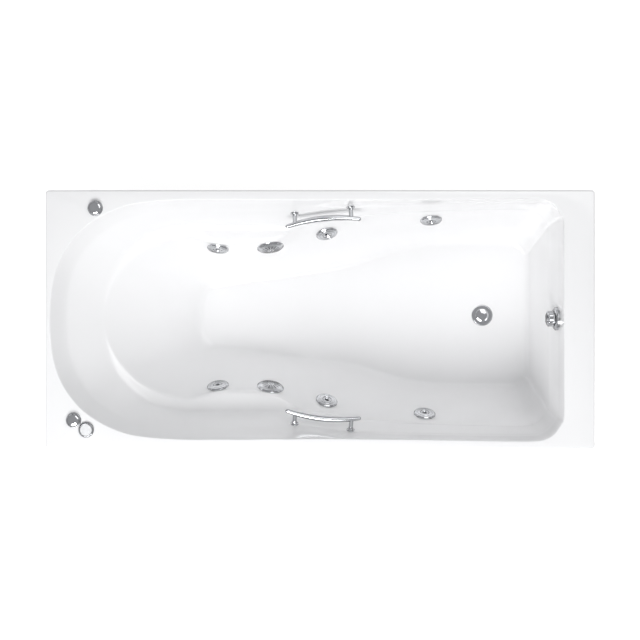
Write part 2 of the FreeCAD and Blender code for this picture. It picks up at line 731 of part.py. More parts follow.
rail_length = z.tub_length - 2 * z.frame_inset
rail = square_tube("rail_blank", z.tube_side, rail_length, "YZ_Plane")
drill(rail, [(x, 0, screw_hole) for x in screw_x], 2 * z.tube_side)
put(rail, height=rail_low + z.tube_side / 2)
copies("frame_rails", rail, [FreeCAD.Placement(Vec(0, z.rail_spread.value / 2 * side, 0), Turn())
                             for side in (1, -1)])
cross_end = z.tub_length / 2 - z.cross_inset
cross_length = z.tub_width - 2 * z.cross_side_gap
mid_cross_length = z.tub_width - 2 * z.mid_cross_side_gap
foot_y = z.tub_width / 2 - z.foot_gap
cross_places = [("head", -cross_end, cross_length), ("middle", as_dim(0), mid_cross_length),
                ("foot", cross_end, cross_length)]
for name, x, length in cross_places:
    cross = square_tube("frame_cross_" + name, z.tube_side, length, "XZ_Plane")
    drill(cross, [(0, foot_y * side, z.stud_dia + 2 * z.stud_gap) for side in (1, -1)], 2 * z.tube_side)
    keep(put(cross, x, 0, cross_low + z.tube_side / 2), "frame_cross_" + name)

post_low = rail_low
post_top = z.rim_height - z.shell_wall
post = square_tube("post_blank", z.post_side, post_top - post_low, "XY_Plane")
post_middle = number(post_low + post_top) / 2
post_places = [FreeCAD.Placement(Vec(x, side * (half_width - gap), post_middle), Turn())
               for x, gap in ((-cross_end.value, z.head_post_gap.value),
                              (cross_end.value, z.foot_post_gap.value))
               for side in (1, -1)]
copies("rim_posts", post, post_places)

# Levelling feet: a pad with a stud up through the cross member, locked by a nut on top of the tube.
foot_places = [FreeCAD.Placement(Vec(x.value, side * foot_y.value, 0), Turn())
               for name, x, length in cross_places for side in (1, -1)]
stud_top = rail_low + 1.5 * z.nut_thick
foot = lathe("foot_blank", [
    (0, 0), (z.foot_dia / 2, 0), (z.foot_dia / 2, z.foot_thick / 2), (z.foot_dia / 4, z.foot_thick),
    (z.stud_dia / 2, z.foot_thick), (z.stud_dia / 2, stud_top), (0, stud_top)])
copies("leveling_feet", foot, foot_places)
lock_nut = padded("lock_nut_blank", [hexagon(z.nut_flats)], z.nut_thick,
                  circles=[(0, 0, z.stud_dia + 2 * z.stud_gap)])
put(lock_nut, height=rail_low)
copies("foot_lock_nuts", lock_nut, foot_places)

# Screws up through the rails into the board.
screw_tip = z.tube_side + z.board_thick * 0.75
screw = lathe("screw_blank", [
    (0, -z.screw_head_thick), (z.screw_head / 2, -z.screw_head_thick), (z.screw_head / 2, 0),
    (z.screw_dia / 2, 0), (z.screw_dia / 2, screw_tip), (0, screw_tip)])
put(screw, height=rail_low)
screw_places = [FreeCAD.Placement(Vec(x.value, side * z.rail_spread.value / 2, 0), Turn())
                for x in screw_x for side in (1, -1)]
copies("frame_screws", screw, screw_places)

# ---------------------------------------------------------------- jets
ball_r = z.jet_ball_dia / 2
ball_back = 2
ring_r = z.jet_ring_dia / 2
flange_r = z.jet_flange_dia / 2
neck_r = z.jet_neck_dia / 2
lip_r = ball_r * 0.86
lip_z = ball_r * 0.575 - ball_back
pocket_r = ball_r * 1.025
pocket_z = ball_r * 0.19

# The fixed fitting screwed through the wall: flange in the basin, barrel behind it.
fitting_back = z.seat_wall + z.jet_barrel_back
wall_fitting = lathe("jet_fitting_blank", [
    (neck_r, z.jet_flange_thick), (flange_r, z.jet_flange_thick), (flange_r, 0),
    (z.jet_barrel_dia / 2, 0), (z.jet_barrel_dia / 2, -fitting_back), (neck_r, -fitting_back)])
jet_spots = [seat.placement for seat in jet_seats]
copies("jet_wall_fittings", wall_fitting, jet_spots)


def wall_gasket(label, inner, outer, wall):
    """Flat ring against the hidden side of a wall."""
    low = -wall - z.gasket_thick
    return lathe(label, [(inner, low), (outer, low), (outer, -wall), (inner, -wall)])


jet_gasket = wall_gasket("jet_gasket_blank", z.jet_barrel_dia / 2 + z.run_gap, z.jet_body_dia / 2,
                         z.seat_wall)
gaskets = [(jet_gasket, spot) for spot in jet_spots]

# Face ring: turns on its neck in the fitting and holds the eyeball between two conical lips.
ring_skirt = flange_r + z.free_gap
ring_base = z.jet_flange_thick + z.free_gap
lip_low = -lip_z - 2 * ball_back
nose = ball_r * 0.6
orifice_r = z.jet_orifice_dia / 2
ball_bands = [(ball_r * math.cos(angle), ball_r * math.sin(angle) - ball_back)
              for angle in (math.asin(0.6) * share for share in (1, 0.5, 0, -0.5, -1))]
ball_turn = FreeCAD.Placement(Vec(0, 0, 0), Turn(Vec(0, 0, 1), 90))  # its seam a quarter turn from the ring's
for i, spot in enumerate(jet_spots, start=1):
    ring = lathe("jet_ring_%d" % i, [
        (lip_r, lip_z), (lip_r + 2, z.jet_ring_rise), (ring_r - 3, z.jet_ring_rise - 1.5),
        (ring_r, z.jet_ring_rise / 2), (ring_r, z.free_gap), (ring_skirt, z.free_gap),
        (ring_skirt, ring_base), (neck_r - z.run_gap, ring_base), (neck_r - z.run_gap, lip_low - 1),
        (lip_r, lip_low - 1), (lip_r, lip_low), (pocket_r, -pocket_z - ball_back),
        (pocket_r, pocket_z - ball_back)])
    ring.Placement = spot
    keep(ring, "jet_ring_%d" % i)
    nozzle = lathe("jet_nozzle_%d" % i, [
        (orifice_r, nose - ball_back - 3), (orifice_r + 3, nose - ball_back)] + ball_bands + [
        (orifice_r, -nose - ball_back)])
    nozzle.Placement = spot.multiply(ball_turn)
    keep(nozzle, "jet_nozzle_%d" % i)


class Main:
    """A straight water main beside one wall: its line in plan is set by the head and foot jets."""

    def __init__(self, seats, side):
        reach = z.tail_reach.value
        a, b = seats[0].at(-reach), seats[2].at(-reach)
        self.side = side
        self.start = Vec(a.x, a.y, 0)
        self.along = (Vec(b.x, b.y, 0) - self.start).normalize()
        self.across = Vec(-self.along.y, self.along.x, 0) * side
        self.height = rim_top - port_depth - z.main_drop.value

    def at(self, x, inset=0, height=None):
        """Point over the line at a place along the tub, moved inboard by the inset."""
        base = self.start - self.across * inset
        point = base + self.along * ((x - base.x) / self.along.x)
        return Vec(point.x, point.y, self.height if height is None else height)

    def reach(self, seat, inset=0):
        """How far behind the seat its axis passes over the line."""
        outward = -seat.inward
        offset = (self.start - self.across * inset - seat.centre).dot(self.across)
        return offset / outward.dot(self.across)


mains = {1: Main(jet_seats[:3], 1), -1: Main(jet_seats[3:], -1)}
side_names = {1: "left", -1: "right"}
air_height = rim_top - port_depth - z.air_drop.value


def upright(point, low, diameter):
    return Part.makeCylinder(diameter / 2, point.z - low, Vec(point.x, point.y, low))


def jet_body(seat, main):
    """Chamber behind the wall with a water tail and an air tail down to their pipes' collars."""
    face = z.seat_wall.value + z.gasket_thick.value
    water = main.reach(seat)
    air = main.reach(seat, z.air_inset.value)
    chamber = seat.cylinder(z.jet_body_dia.value, -water - z.tail_dia.value / 2 - 1, -face)
    chamber = chamber.makeChamfer(4, [edge for edge in chamber.Edges if edge.Closed][:1])
    bore = seat.cylinder(z.jet_barrel_dia.value + 2 * z.run_gap.value, -fitting_back.value, -face)
    water_end, air_end = seat.at(-water), seat.at(-air)
    tails = [upright(water_end, main.height, z.tail_dia.value),
             upright(air_end, air_height, z.air_tail_dia.value)]
    along = main.along
    collar = z.collar_length.value
    water_spot = Vec(water_end.x, water_end.y, main.height) - along * (collar / 2)
    air_spot = Vec(air_end.x, air_end.y, air_height) - along * (collar / 4)
    tails.append(Part.makeCylinder(z.main_dia.value / 2 + 4, collar, water_spot, along))
    tails.append(Part.makeCylinder(z.air_dia.value / 2 + 2.5, collar / 2, air_spot, along))
    body = chamber.fuse(tails).cut(bore)
    longer = 1.5 * collar
    water_pipe = Part.makeCylinder(z.main_dia.value / 2 + z.run_gap.value, longer,
                                   water_spot - along * (collar / 4), along)
    air_pipe = Part.makeCylinder(z.air_dia.value / 2 + z.run_gap.value, longer,
                                 air_spot - along * (collar / 4), along)
    return body.cut([water_pipe, air_pipe]).removeSplitter()


jet_bodies = [jet_body(seat, mains[side]) for seat, (x, side) in zip(jet_seats, jet_places)]
keep(solid_feature("jet_bodies", Part.makeCompound(jet_bodies)), "jet_bodies")


# ---------------------------------------------------------------- pipes
def bent_path(points, radius):
    """Straight runs joined by tangent arcs."""
    edges = []
    start = points[0]
    for before, corner, after in zip(points, points[1:], points[2:]):
        first = (before - corner).normalize()
        second = (after - corner).normalize()
        half = first.getAngle(second) / 2
        cut = radius / math.tan(half)
        a, b = corner + first * cut, corner + second * cut
        middle = corner + (first + second).normalize() * (radius / math.sin(half) - radius)
        edges.append(Part.LineSegment(start, a).toShape())
        edges.append(Part.Arc(a, middle, b).toShape())
        start = b
    edges.append(Part.LineSegment(start, points[-1]).toShape())
    return Part.Wire(edges)


def pipe(points, radius, diameter, wall=0):
    """Pipe along a bent path, open at both ends where it has a wall."""
    path = bent_path(points, radius)
    lead = (points[1] - points[0]).normalize()
    made = []
    for size in [diameter] + ([diameter - 2 * wall] if wall else []):
        disc = Part.Face(Part.Wire(Part.makeCircle(size / 2, points[0], lead)))
        made.append(path.makePipe(disc))
    return made[0].cut(made[1]) if wall else made[0]


pump_x = z.pump_gap - z.tub_length / 2
pump_z = board_low + z.pump_rise
header_x = pump_x.value
header_height = (pump_z + z.header_rise).value
main_end = max(jet_foot_x.values()) + z.collar_length.value / 2 + 8
water_mains = [pipe([main.at(header_x), main.at(main_end)], 1, z.main_dia.value, z.main_wall.value)
               for main in mains.values()]
keep(solid_feature("water_mains", Part.makeCompound(water_mains)), "water_mains")

controls = {1: control_places[0], -1: control_places[1]}
air_hoses = []
for side, main in mains.items():
    top = controls[side] - Vec(0, 0, z.control_long.value)
    head = main.at(jet_head_x - z.collar_length.value, z.air_inset.value, air_height)
    end = main.at(jet_foot_x[side] + z.collar_length.value / 2, z.air_inset.value, air_height)
    route = [top, Vec(top.x, top.y, air_height), head, end]
    air_hoses.append(pipe(route, z.hose_bend.value, z.air_dia.value, z.air_wall.value))
keep(solid_feature("air_hoses", Part.makeCompound(air_hoses)), "air_hoses")

# ---------------------------------------------------------------- suction fittings and their pipes
suction_spots = [seat.placement for seat in suction_seats]
barrel_r = z.suction_barrel_dia / 2
bridge_low = -z.bridge_drop
suction_back = z.seat_wall + z.suction_barrel_back
suction_fitting = lathe("suction_fitting_blank", [
    (barrel_r - 4, z.jet_flange_thick), (z.suction_flange_dia / 2, z.jet_flange_thick),
    (z.suction_flange_dia / 2, 0), (barrel_r, 0), (barrel_r, -suction_back),
    (barrel_r - 4, -suction_back)])
bridge = padded("suction_bridge_blank", [rectangle(2 * barrel_r - 6, 9)], 6, circles=[(0, 0, 5.2)])
put(bridge, height=bridge_low)
doc.recompute()
fitting_shape = suction_fitting.Shape.fuse(bridge.Shape)
fitting_union = solid_feature("suction_fitting_union", fitting_shape)
copies("suction_fittings", fitting_union, suction_spots)
suction_gasket = wall_gasket("suction_gasket_blank", barrel_r + z.run_gap, z.suction_cup_dia / 2,
                             z.seat_wall)
gaskets += [(suction_gasket, spot) for spot in suction_spots]

cover_r = z.suction_dia / 2
cover_inner = z.suction_flange_dia / 2 + z.free_gap
cover_bore = 2.6
slot_count = 14
for i, name in enumerate(("left", "right")):
    cover = lathe("suction_cover_" + name, [
        (cover_bore, z.suction_rise), (cover_r * 0.45, z.suction_rise - 1.6),
        (cover_r * 0.86, z.suction_rise - 6.5), (cover_r, z.jet_flange_thick - 1),
        (cover_r, 0), (cover_inner, 0), (cover_inner, z.jet_flange_thick),
        (barrel_r, z.jet_flange_thick), (cover_bore, z.suction_rise - 4)])
    cut = new_sketch(cover, "XY_Plane", "suction_slot_" + name)
    draw_outline(cut, rectangle(z.slot_length, z.slot_width, z.slot_middle, 0))
    slot = cover.newObject("PartDesign::Pocket", "suction_slot_cut_" + name)
    slot.Profile = cut
    slot.Reversed = True
    slot.Length = 40
    pattern = cover.newObject("PartDesign::PolarPattern", "suction_slots_" + name)
    pattern.Originals = [slot]
    pattern.Axis = (cut, ["N_Axis"])
    pattern.Angle = 360
    pattern.Occurrences = slot_count
    cover.Tip = pattern
    cover.Placement = suction_spots[i]
    keep(cover, "suction_cover_" + name)
cover_screw = lathe("cover_screw_blank", [
    (0, z.suction_rise + 2.5), (3.5, z.suction_rise + 2.5), (5, z.suction_rise + 0.5), (5, z.suction_rise),
    (2.5, z.suction_rise), (2.5, bridge_low - 2), (0, bridge_low - 2)])
copies("suction_screws", cover_screw, suction_spots)

pipe_r = z.suction_pipe_dia.value / 2
pipe_z = pump_z.value
pipe_wall = z.main_wall.value
tail_low = rim_top - port_depth - 50
suction_ends = []
suction_bodies = []
for seat in suction_seats:
    face = z.seat_wall.value + z.gasket_thick.value
    reach = face + pipe_r + 1
    cup = seat.cylinder(z.suction_cup_dia.value, -face - z.suction_cup_depth.value, -face)
    hollow = seat.cylinder(z.suction_barrel_dia.value + 2 * z.run_gap.value,
                           -face - z.suction_cup_depth.value + 4, -face)
    end = seat.at(-reach)
    outlet = upright(end, tail_low, 2 * pipe_r)
    suction_bodies.append(cup.fuse(outlet).cut([hollow, upright(end, tail_low, 2 * (pipe_r - pipe_wall))]))
    suction_ends.append(Vec(end.x, end.y, tail_low))
keep(solid_feature("suction_bodies", Part.makeCompound(suction_bodies)), "suction_bodies")

inlet_y = z.volute_y.value + z.volute_wide.value / 2 + 22
cross_pipe_x = pump_x.value + z.volute_dia.value / 2 + 40
left_end, right_end = suction_ends
left_route = [left_end, Vec(left_end.x, left_end.y, pipe_z), Vec(pump_x.value, left_end.y, pipe_z),
              Vec(pump_x.value, inlet_y, pipe_z)]
branch_y = left_end.y - pipe_r - 1
right_route = [right_end, Vec(right_end.x, right_end.y, pipe_z), Vec(cross_pipe_x, right_end.y, pipe_z),
               Vec(cross_pipe_x, branch_y, pipe_z)]
suction_pipes = [pipe(route, z.suction_bend.value, 2 * pipe_r, pipe_wall)
                 for route in (left_route, right_route)]
keep(solid_feature("suction_pipes", Part.makeCompound(suction_pipes)), "suction_pipes")
snug = z.run_gap.value
tee_spot = Vec(cross_pipe_x, left_end.y, pipe_z)


def tee_arms(radius, half, branch):
    """A straight run along the tub with one branch off it towards the tub's middle."""
    run = Part.makeCylinder(radius, 2 * half, tee_spot - Vec(half, 0, 0), Vec(1, 0, 0))
    return run, Part.makeCylinder(radius, branch, tee_spot, Vec(0, -1, 0))


run, side_arm = tee_arms(pipe_r + 4, 35, 46)
run_bore, arm_bore = tee_arms(pipe_r + snug, 45, 60)
tee = run.fuse(side_arm).cut(run_bore).cut(arm_bore)

# ---------------------------------------------------------------- pump
across_turn = Turn(Vec(1, 0, 0), -90)
pump_axis = Vec(0, 1, 0)


def on_shaft(y):
    return Vec(pump_x.value, y, pipe_z)


def shaft_cylinder(diameter, low, high):
    return Part.makeCylinder(diameter / 2, high - low, on_shaft(low), pump_axis)


volute_low = z.volute_y.value - z.volute_wide.value / 2
volute_high = z.volute_y.value + z.volute_wide.value / 2
motor_end = z.volute_y - z.volute_wide / 2
motor_start = motor_end - z.motor_length
motor_r = z.motor_dia / 2
shaft_bore_r = z.shaft_dia / 2 + z.run_gap
motor = lathe("pump_motor", [
    (0, motor_start), (motor_r - 8, motor_start), (motor_r, motor_start + 8),
    (motor_r, motor_start + 46), (motor_r - 4, motor_start + 48), (motor_r - 4, motor_end - 30),
    (motor_r, motor_end - 28), (motor_r, motor_end), (shaft_bore_r, motor_end),
    (shaft_bore_r, motor_start + 30), (0, motor_start + 30)])
keep(put(motor, pump_x, 0, pump_z, across_turn), "pump_motor")

volute_top = pipe_z + z.volute_dia.value / 2
outlet_top = header_height - z.main_dia.value / 2 - 8
rotor_half = z.rotor_wide.value / 2 + 2
casing = shaft_cylinder(z.volute_dia.value, volute_low, volute_high)
rim_edges = [edge for edge in casing.Edges if edge.Closed]
casing = casing.makeChamfer(9, [edge for edge in rim_edges if edge.BoundBox.YMin > volute_low + 1])
casing = casing.fuse([
    shaft_cylinder(2 * pipe_r, volute_high - 1, inlet_y),
    Part.makeCylinder(z.main_dia.value / 2, outlet_top - pipe_z, on_shaft(z.volute_y.value))])
casing = casing.cut([
    shaft_cylinder(z.rotor_dia.value + 4, z.volute_y.value - rotor_half, z.volute_y.value + rotor_half),
    shaft_cylinder(2 * (pipe_r - pipe_wall), z.volute_y.value, inlet_y + 1),
    Part.makeCylinder(z.main_dia.value / 2 - pipe_wall, outlet_top - pipe_z + 1,
                      on_shaft(z.volute_y.value)),
    shaft_cylinder(z.shaft_dia.value + 2 * z.run_gap.value, volute_low - 1, z.volute_y.value)])
keep(solid_feature("pump_volute", casing), "pump_volute")

rotor_low = z.volute_y.value - z.rotor_wide.value / 2
rotor = shaft_cylinder(z.rotor_dia.value, rotor_low, rotor_low + 4)
rotor = rotor.fuse([shaft_cylinder(z.shaft_dia.value + 12, rotor_low, rotor_low + 14),
                    shaft_cylinder(z.shaft_dia.value, motor_start.value + 31, rotor_low + 4)])
vane_count = 6
for i in range(vane_count):
    vane = Part.makeBox(z.rotor_dia.value / 2 - 12, z.rotor_wide.value, 4, Vec(11, rotor_low, 6))
    vane.rotate(Vec(0, 0, 0), pump_axis, 360 / vane_count * i)
    vane.translate(Vec(pump_x.value, 0, pipe_z))
    rotor = rotor.fuse(vane)
rotor = rotor.common(shaft_cylinder(z.rotor_dia.value, motor_start.value, z.volute_y.value + rotor_half))
keep(solid_feature("pump_rotor", rotor), "pump_rotor")

stand_low = board_low.value
stand_length = z.motor_length.value - 50
stand_y = motor_start.value + 20
plate = Part.makeBox(120, stand_length, 4, Vec(pump_x.value - 60, stand_y, stand_low))
saddles = [Part.makeBox(92, 12, pipe_z - 36 - stand_low, Vec(pump_x.value - 46, y, stand_low))
           for y in (stand_y + 4, stand_y + stand_length - 16)]
stand = plate.fuse(saddles).cut(
    shaft_cylinder(z.motor_dia.value + 2 * z.run_gap.value, motor_start.value - 1, motor_end.value))
keep(solid_feature("pump_stand", stand), "pump_stand")

box_thick = z.box_thick.value
box_low = Vec(pump_x.value - z.motor_dia.value / 2 - box_thick + 4, motor_start.value + 56,
              pipe_z - z.box_height.value / 2)
terminal = Part.makeBox(box_thick, z.box_length.value, z.box_height.value, box_low)
terminal = terminal.makeFillet(5, [
    edge for edge in terminal.Edges
    if edge.BoundBox.XMax < box_low.x + 1 or edge.BoundBox.XLength > box_thick / 2])
gland_spot = box_low + Vec(20, 0, 18)
hose_spot = box_low + Vec(16, 0, 44)
gland_bore = z.gland_bore.value
terminal = terminal.cut([
    shaft_cylinder(z.motor_dia.value - 7.8, motor_start.value, motor_end.value),
    Part.makeCylinder(gland_bore / 2, 14, gland_spot, pump_axis)])
keep(solid_feature("terminal_box", terminal), "terminal_box")
gland_r = z.gland_bore / 2
gland = lathe("cable_gland", [
    (gland_r, 0), (gland_r + 6.5, 0), (gland_r + 6.5, 9), (gland_r + 5, 9), (gland_r + 5, 18),
    (gland_r + 2.5, 22), (gland_r, 22)])
gland.Placement = FreeCAD.Placement(gland_spot, Turn(Vec(1, 0, 0), 90))
keep(gland, "cable_gland")

# Discharge header over the pump, with a sleeve at each end down to the water mains.
header_r = z.main_dia.value / 2
ends = {side: main.at(header_x) for side, main in mains.items()}
header_span = ends[1].y - ends[-1].y
header_start = Vec(header_x, ends[-1].y, header_height)
header = Part.makeCylinder(header_r, header_span, header_start, pump_axis)
sleeve_r = header_r + 5
sleeve_low = mains[1].height - sleeve_r
sleeve_high = header_height + sleeve_r
header = header.fuse([upright(Vec(header_x, ends[side].y, sleeve_high), sleeve_low, 2 * sleeve_r)
                      for side in (1, -1)])
outlet_end = Vec(header_x, z.volute_y.value, outlet_top)
header = header.fuse(Part.makeCylinder(header_r, header_height - outlet_top, outlet_end))
bores = [Part.makeCylinder(header_r - pipe_wall, header_span, header_start, pump_axis),
         Part.makeCylinder(header_r - pipe_wall, header_height - outlet_top, outlet_end)]
for side, main in mains.items():
    bores.append(Part.makeCylinder(header_r + snug, 80, main.at(header_x) - main.along * 3, main.along))
    bores.append(upright(Vec(header_x, ends[side].y, header_height), main.height,
                         2 * (header_r - pipe_wall)))
keep(solid_feature("discharge_header", header.cut(bores)), "discharge_header")
inlet_union = Part.makeCylinder(pipe_r + 10, 24, on_shaft(inlet_y - 12), pump_axis).cut(
    Part.makeCylinder(pipe_r + snug, 24, on_shaft(inlet_y - 12), pump_axis))
union_base = Vec(header_x, z.volute_y.value, outlet_top - 8)
outlet_union = Part.makeCylinder(header_r + 9, 15, union_base).cut(
    Part.makeCylinder(header_r + snug, 15, union_base))
keep(solid_feature("pipe_unions", Part.makeCompound([inlet_union, outlet_union, tee])), "pipe_unions")

# ---------------------------------------------------------------- drain
drain_r = z.drain_flange_dia / 2
drain_barrel_r = z.drain_barrel_dia / 2
drain_bore_r = drain_barrel_r - 3
stem_r = z.spindle_dia / 2
hub_r = stem_r + 3
spider_z = -22
flange_lathe = lathe("drain_flange_blank", [
    (drain_bore_r, 0.8), (drain_bore_r + 2, 2.6), (drain_r - 3, 2.6), (drain_r, 0), (drain_barrel_r, 0),
    (drain_barrel_r, -38), (drain_bore_r, -38)])
stem_hole = 2 * stem_r + 2 * z.run_gap
spider = padded("drain_spider_blank", [rectangle(2 * drain_bore_r + 2, 5)], 5, circles=[(0, 0, stem_hole)])
hub = padded("drain_hub_blank", [], 9, circles=[(0, 0, 2 * hub_r), (0, 0, stem_hole)])
put(spider, height=spider_z)
put(hub, height=spider_z)
doc.recompute()
clear = Part.makeCylinder(hub_r.value - 1, 9, Vec(0, 0, spider_z))
guide = spider.Shape.cut(clear).fuse(hub.Shape)
drain_flange = solid_feature("drain_flange", flange_lathe.Shape.fuse(guide))
keep(drain_flange, "drain_flange")
drain_flange.Placement = FreeCAD.Placement(drain_place, Turn())

plug_r = z.plug_dia / 2
plug = lathe("drain_plug", [
    (0, 7.6), (plug_r * 0.35, 7.4), (plug_r * 0.7, 6.5), (plug_r - 1.5, 5), (plug_r, 3.4), (plug_r, 2.9),
    (drain_bore_r - 2, 2.9), (drain_bore_r - 2, 0), (stem_r, -2), (stem_r, spider_z - 14),
    (0, spider_z - 14)])
keep(put(plug, drain_x, 0, z.rim_height - z.basin_depth), "drain_plug")

under_gap = z.backed_wall + z.gasket_thick
ring_gasket = wall_gasket("drain_gasket_blank", drain_barrel_r + z.run_gap, drain_r + 2, z.backed_wall)
gaskets.append((ring_gasket, FreeCAD.Placement(drain_place, Turn())))

# The body's arm for the overflow pipe passes under the base board.
over_r = z.overflow_pipe_dia.value / 2
arm_r = over_r + 3
tee_drop = (z.backed_wall + z.board_thick).value + arm_r + 1.5
body_low = -tee_drop - arm_r - 0.5
body_r = drain_barrel_r + 4
spout_r = z.waste_dia / 2
body_lathe = lathe("drain_body_blank", [
    (drain_barrel_r + z.run_gap, -under_gap), (drain_r + 2, -under_gap), (drain_r + 2, -under_gap - 5),
    (body_r, -under_gap - 5), (body_r, body_low), (spout_r, body_low), (spout_r, body_low - 14),
    (spout_r - 3, body_low - 14), (spout_r - 3, -40), (drain_barrel_r + z.run_gap, -40)])
doc.recompute()
arm_end = 62
arm = Part.makeCylinder(arm_r, arm_end, Vec(0, 0, -tee_drop), Vec(1, 0, 0))
pipe_start = drain_barrel_r.value + 8
pipe_bore = Part.makeCylinder(over_r + snug, arm_end, Vec(pipe_start, 0, -tee_drop), Vec(1, 0, 0))
core = Part.makeCylinder(drain_barrel_r.value + 1, 2 * arm_r, Vec(0, 0, -tee_drop - arm_r))
throat = Part.makeCylinder(over_r - 3, arm_end, Vec(0, 0, -tee_drop), Vec(1, 0, 0))
drain_body = solid_feature("drain_body", body_lathe.Shape.fuse(arm.cut(core)).cut([pipe_bore, throat]))
keep(drain_body, "drain_body")
drain_body.Placement = FreeCAD.Placement(drain_place, Turn())

trap_top = body_low
trap_r = z.trap_dia / 2
trap_low = body_low - z.trap_height
trap_lathe = lathe("trap_blank", [
    (spout_r + z.run_gap, trap_top), (spout_r + 6, trap_top), (spout_r + 6, trap_top - 12),
    (trap_r, trap_top - 14), (trap_r, trap_low + 5), (trap_r - 5, trap_low), (0, trap_low),
    (0, trap_low + 4), (trap_r - 4, trap_low + 4), (trap_r - 4, trap_top - 17),
    (spout_r + z.run_gap, trap_top - 17)])
doc.recompute()

# The waste outlet: a plain spigot from a shoulder outside the trap.
waste_r = z.waste_dia.value / 2
shoulder_r = waste_r + 3
outlet_z = trap_low.value + shoulder_r + 2


def outlet_cylinder(radius, length):
    return Part.makeCylinder(radius, length, Vec(0, 0, outlet_z), Vec(0, 1, 0))


outlet = outlet_cylinder(waste_r, z.waste_reach.value).fuse(
    outlet_cylinder(shoulder_r, z.waste_collar.value))
inside = Part.makeCylinder(trap_r.value - 2, z.trap_height.value, Vec(0, 0, trap_low.value))
outlet_bore = outlet_cylinder(waste_r - 2.5, z.waste_reach.value)
trap = solid_feature("drain_trap", trap_lathe.Shape.fuse(outlet.cut(inside)).cut(outlet_bore))
keep(trap, "drain_trap")
trap.Placement = FreeCAD.Placement(drain_place, Turn())

# ---------------------------------------------------------------- overflow
over_spot = overflow_seat.placement
spindle_r = z.spindle_dia / 2
rosette_r = z.overflow_dia / 2
rosette_top = z.overflow_rise
rosette = lathe("overflow_rosette", [
    (spindle_r + z.run_gap, rosette_top), (rosette_r * 0.5, rosette_top),
    (rosette_r * 0.75, rosette_top - 0.9), (rosette_r - 3, rosette_top - 3), (rosette_r, rosette_top - 6),
    (rosette_r, 0), (rosette_r - 3, 0), (rosette_r - 3, rosette_top - 6.5),
    (spindle_r + 6, rosette_top - 4), (spindle_r + 6, -3), (spindle_r + z.run_gap, -3)])
notch = new_sketch(rosette, "XY_Plane", "rosette_slot")
draw_outline(notch, rectangle(8, 7, rosette_r - 2, 0))
notch_cut = rosette.newObject("PartDesign::Pocket", "rosette_slot_cut")
notch_cut.Profile = notch
notch_cut.Reversed = True
notch_cut.Length = 4
notches = rosette.newObject("PartDesign::PolarPattern", "rosette_slots")
notches.Originals = [notch_cut]
notches.Axis = (notch, ["N_Axis"])
notches.Angle = 360
notches.Occurrences = 10
rosette.Tip = notches
rosette.Placement = over_spot
keep(rosette, "overflow_rosette")

lobe_count = 6
knob_r = z.overflow_knob_dia / 2
valley = knob_r * 0.86
lobes = []
for i in range(lobe_count):
    for share, bulge in ((-0.3, -valley * 0.45), (0.3, knob_r * 0.42)):
        angle = 2 * math.pi * (i + share) / lobe_count
        lobes.append((valley * math.cos(angle), valley * math.sin(angle), bulge))
knob = padded("overflow_knob", [lobes], z.overflow_knob_thick)
knob_spindle = knob.newObject("PartDesign::Pad", "knob_spindle")
spindle = new_sketch(knob, "XY_Plane", "knob_spindle_outline")
draw_circle(spindle, 0, 0, 2 * spindle_r)
knob_spindle.Profile = spindle
knob_spindle.Length = 40
knob_spindle.Reversed = True
doc.recompute()
knob_top = [("Edge%d" % n) for n, edge in enumerate(knob.Shape.Edges, start=1)
            if edge.BoundBox.ZMin > z.overflow_knob_thick.value - 0.1]
soften = knob.newObject("PartDesign::Chamfer", "knob_bevel")
soften.Base = (knob_spindle, knob_top)
soften.Size = 2.5
knob.Tip = soften
knob_rise = (z.overflow_rise + z.free_gap).value
knob.Placement = over_spot.multiply(FreeCAD.Placement(Vec(0, 0, knob_rise), Turn()))
keep(knob, "overflow_knob")

over_gasket = wall_gasket("overflow_gasket_blank", drain_barrel_r + z.run_gap, drain_r - 1, z.seat_wall)
gaskets.append((over_gasket, over_spot))
doc.recompute()
seals = []
for blank, spot in gaskets:
    seal = blank.Shape.copy()
    seal.Placement = spot
    seals.append(seal)
keep(solid_feature("rubber_gaskets", Part.makeCompound(seals)), "rubber_gaskets")

over_face = (z.seat_wall + z.gasket_thick).value
barrel = z.drain_barrel_dia.value
chamber_end = -62
elbow = overflow_seat.cylinder(barrel, chamber_end, 0)
elbow = elbow.fuse(overflow_seat.cylinder(z.drain_flange_dia.value - 2, -over_face - 5, -over_face))
down_at = overflow_seat.at(-40)
elbow_low = down_at.z - 44
elbow = elbow.fuse(upright(down_at, elbow_low, 2 * over_r + 8))
elbow = elbow.cut([
    overflow_seat.cylinder(barrel - 6, chamber_end + 3, 1),
    upright(down_at, elbow_low - 1, 2 * over_r - 6),
    upright(Vec(down_at.x, 0, elbow_low + 18), elbow_low - 1, 2 * (over_r + snug))])
spindle_bore = overflow_seat.cylinder(2 * (spindle_r + snug).value, -31, -25)
bearing = Part.makeBox(barrel - 4, 6, 4, Vec(2 - barrel / 2, -3, -30))
bearing.Placement = overflow_seat.placement
bearing = bearing.fuse(overflow_seat.cylinder(16, -30, -26)).cut(spindle_bore)
keep(solid_feature("overflow_elbow", elbow.fuse(bearing)), "overflow_elbow")

tee_height = floor_top - tee_drop
over_route = [Vec(down_at.x, 0, elbow_low + 18), Vec(down_at.x, 0, tee_height),
              Vec(drain_x.value + pipe_start, 0, tee_height)]
keep(solid_feature("overflow_pipe", pipe(over_route, 48, 2 * over_r, 2)), "overflow_pipe")

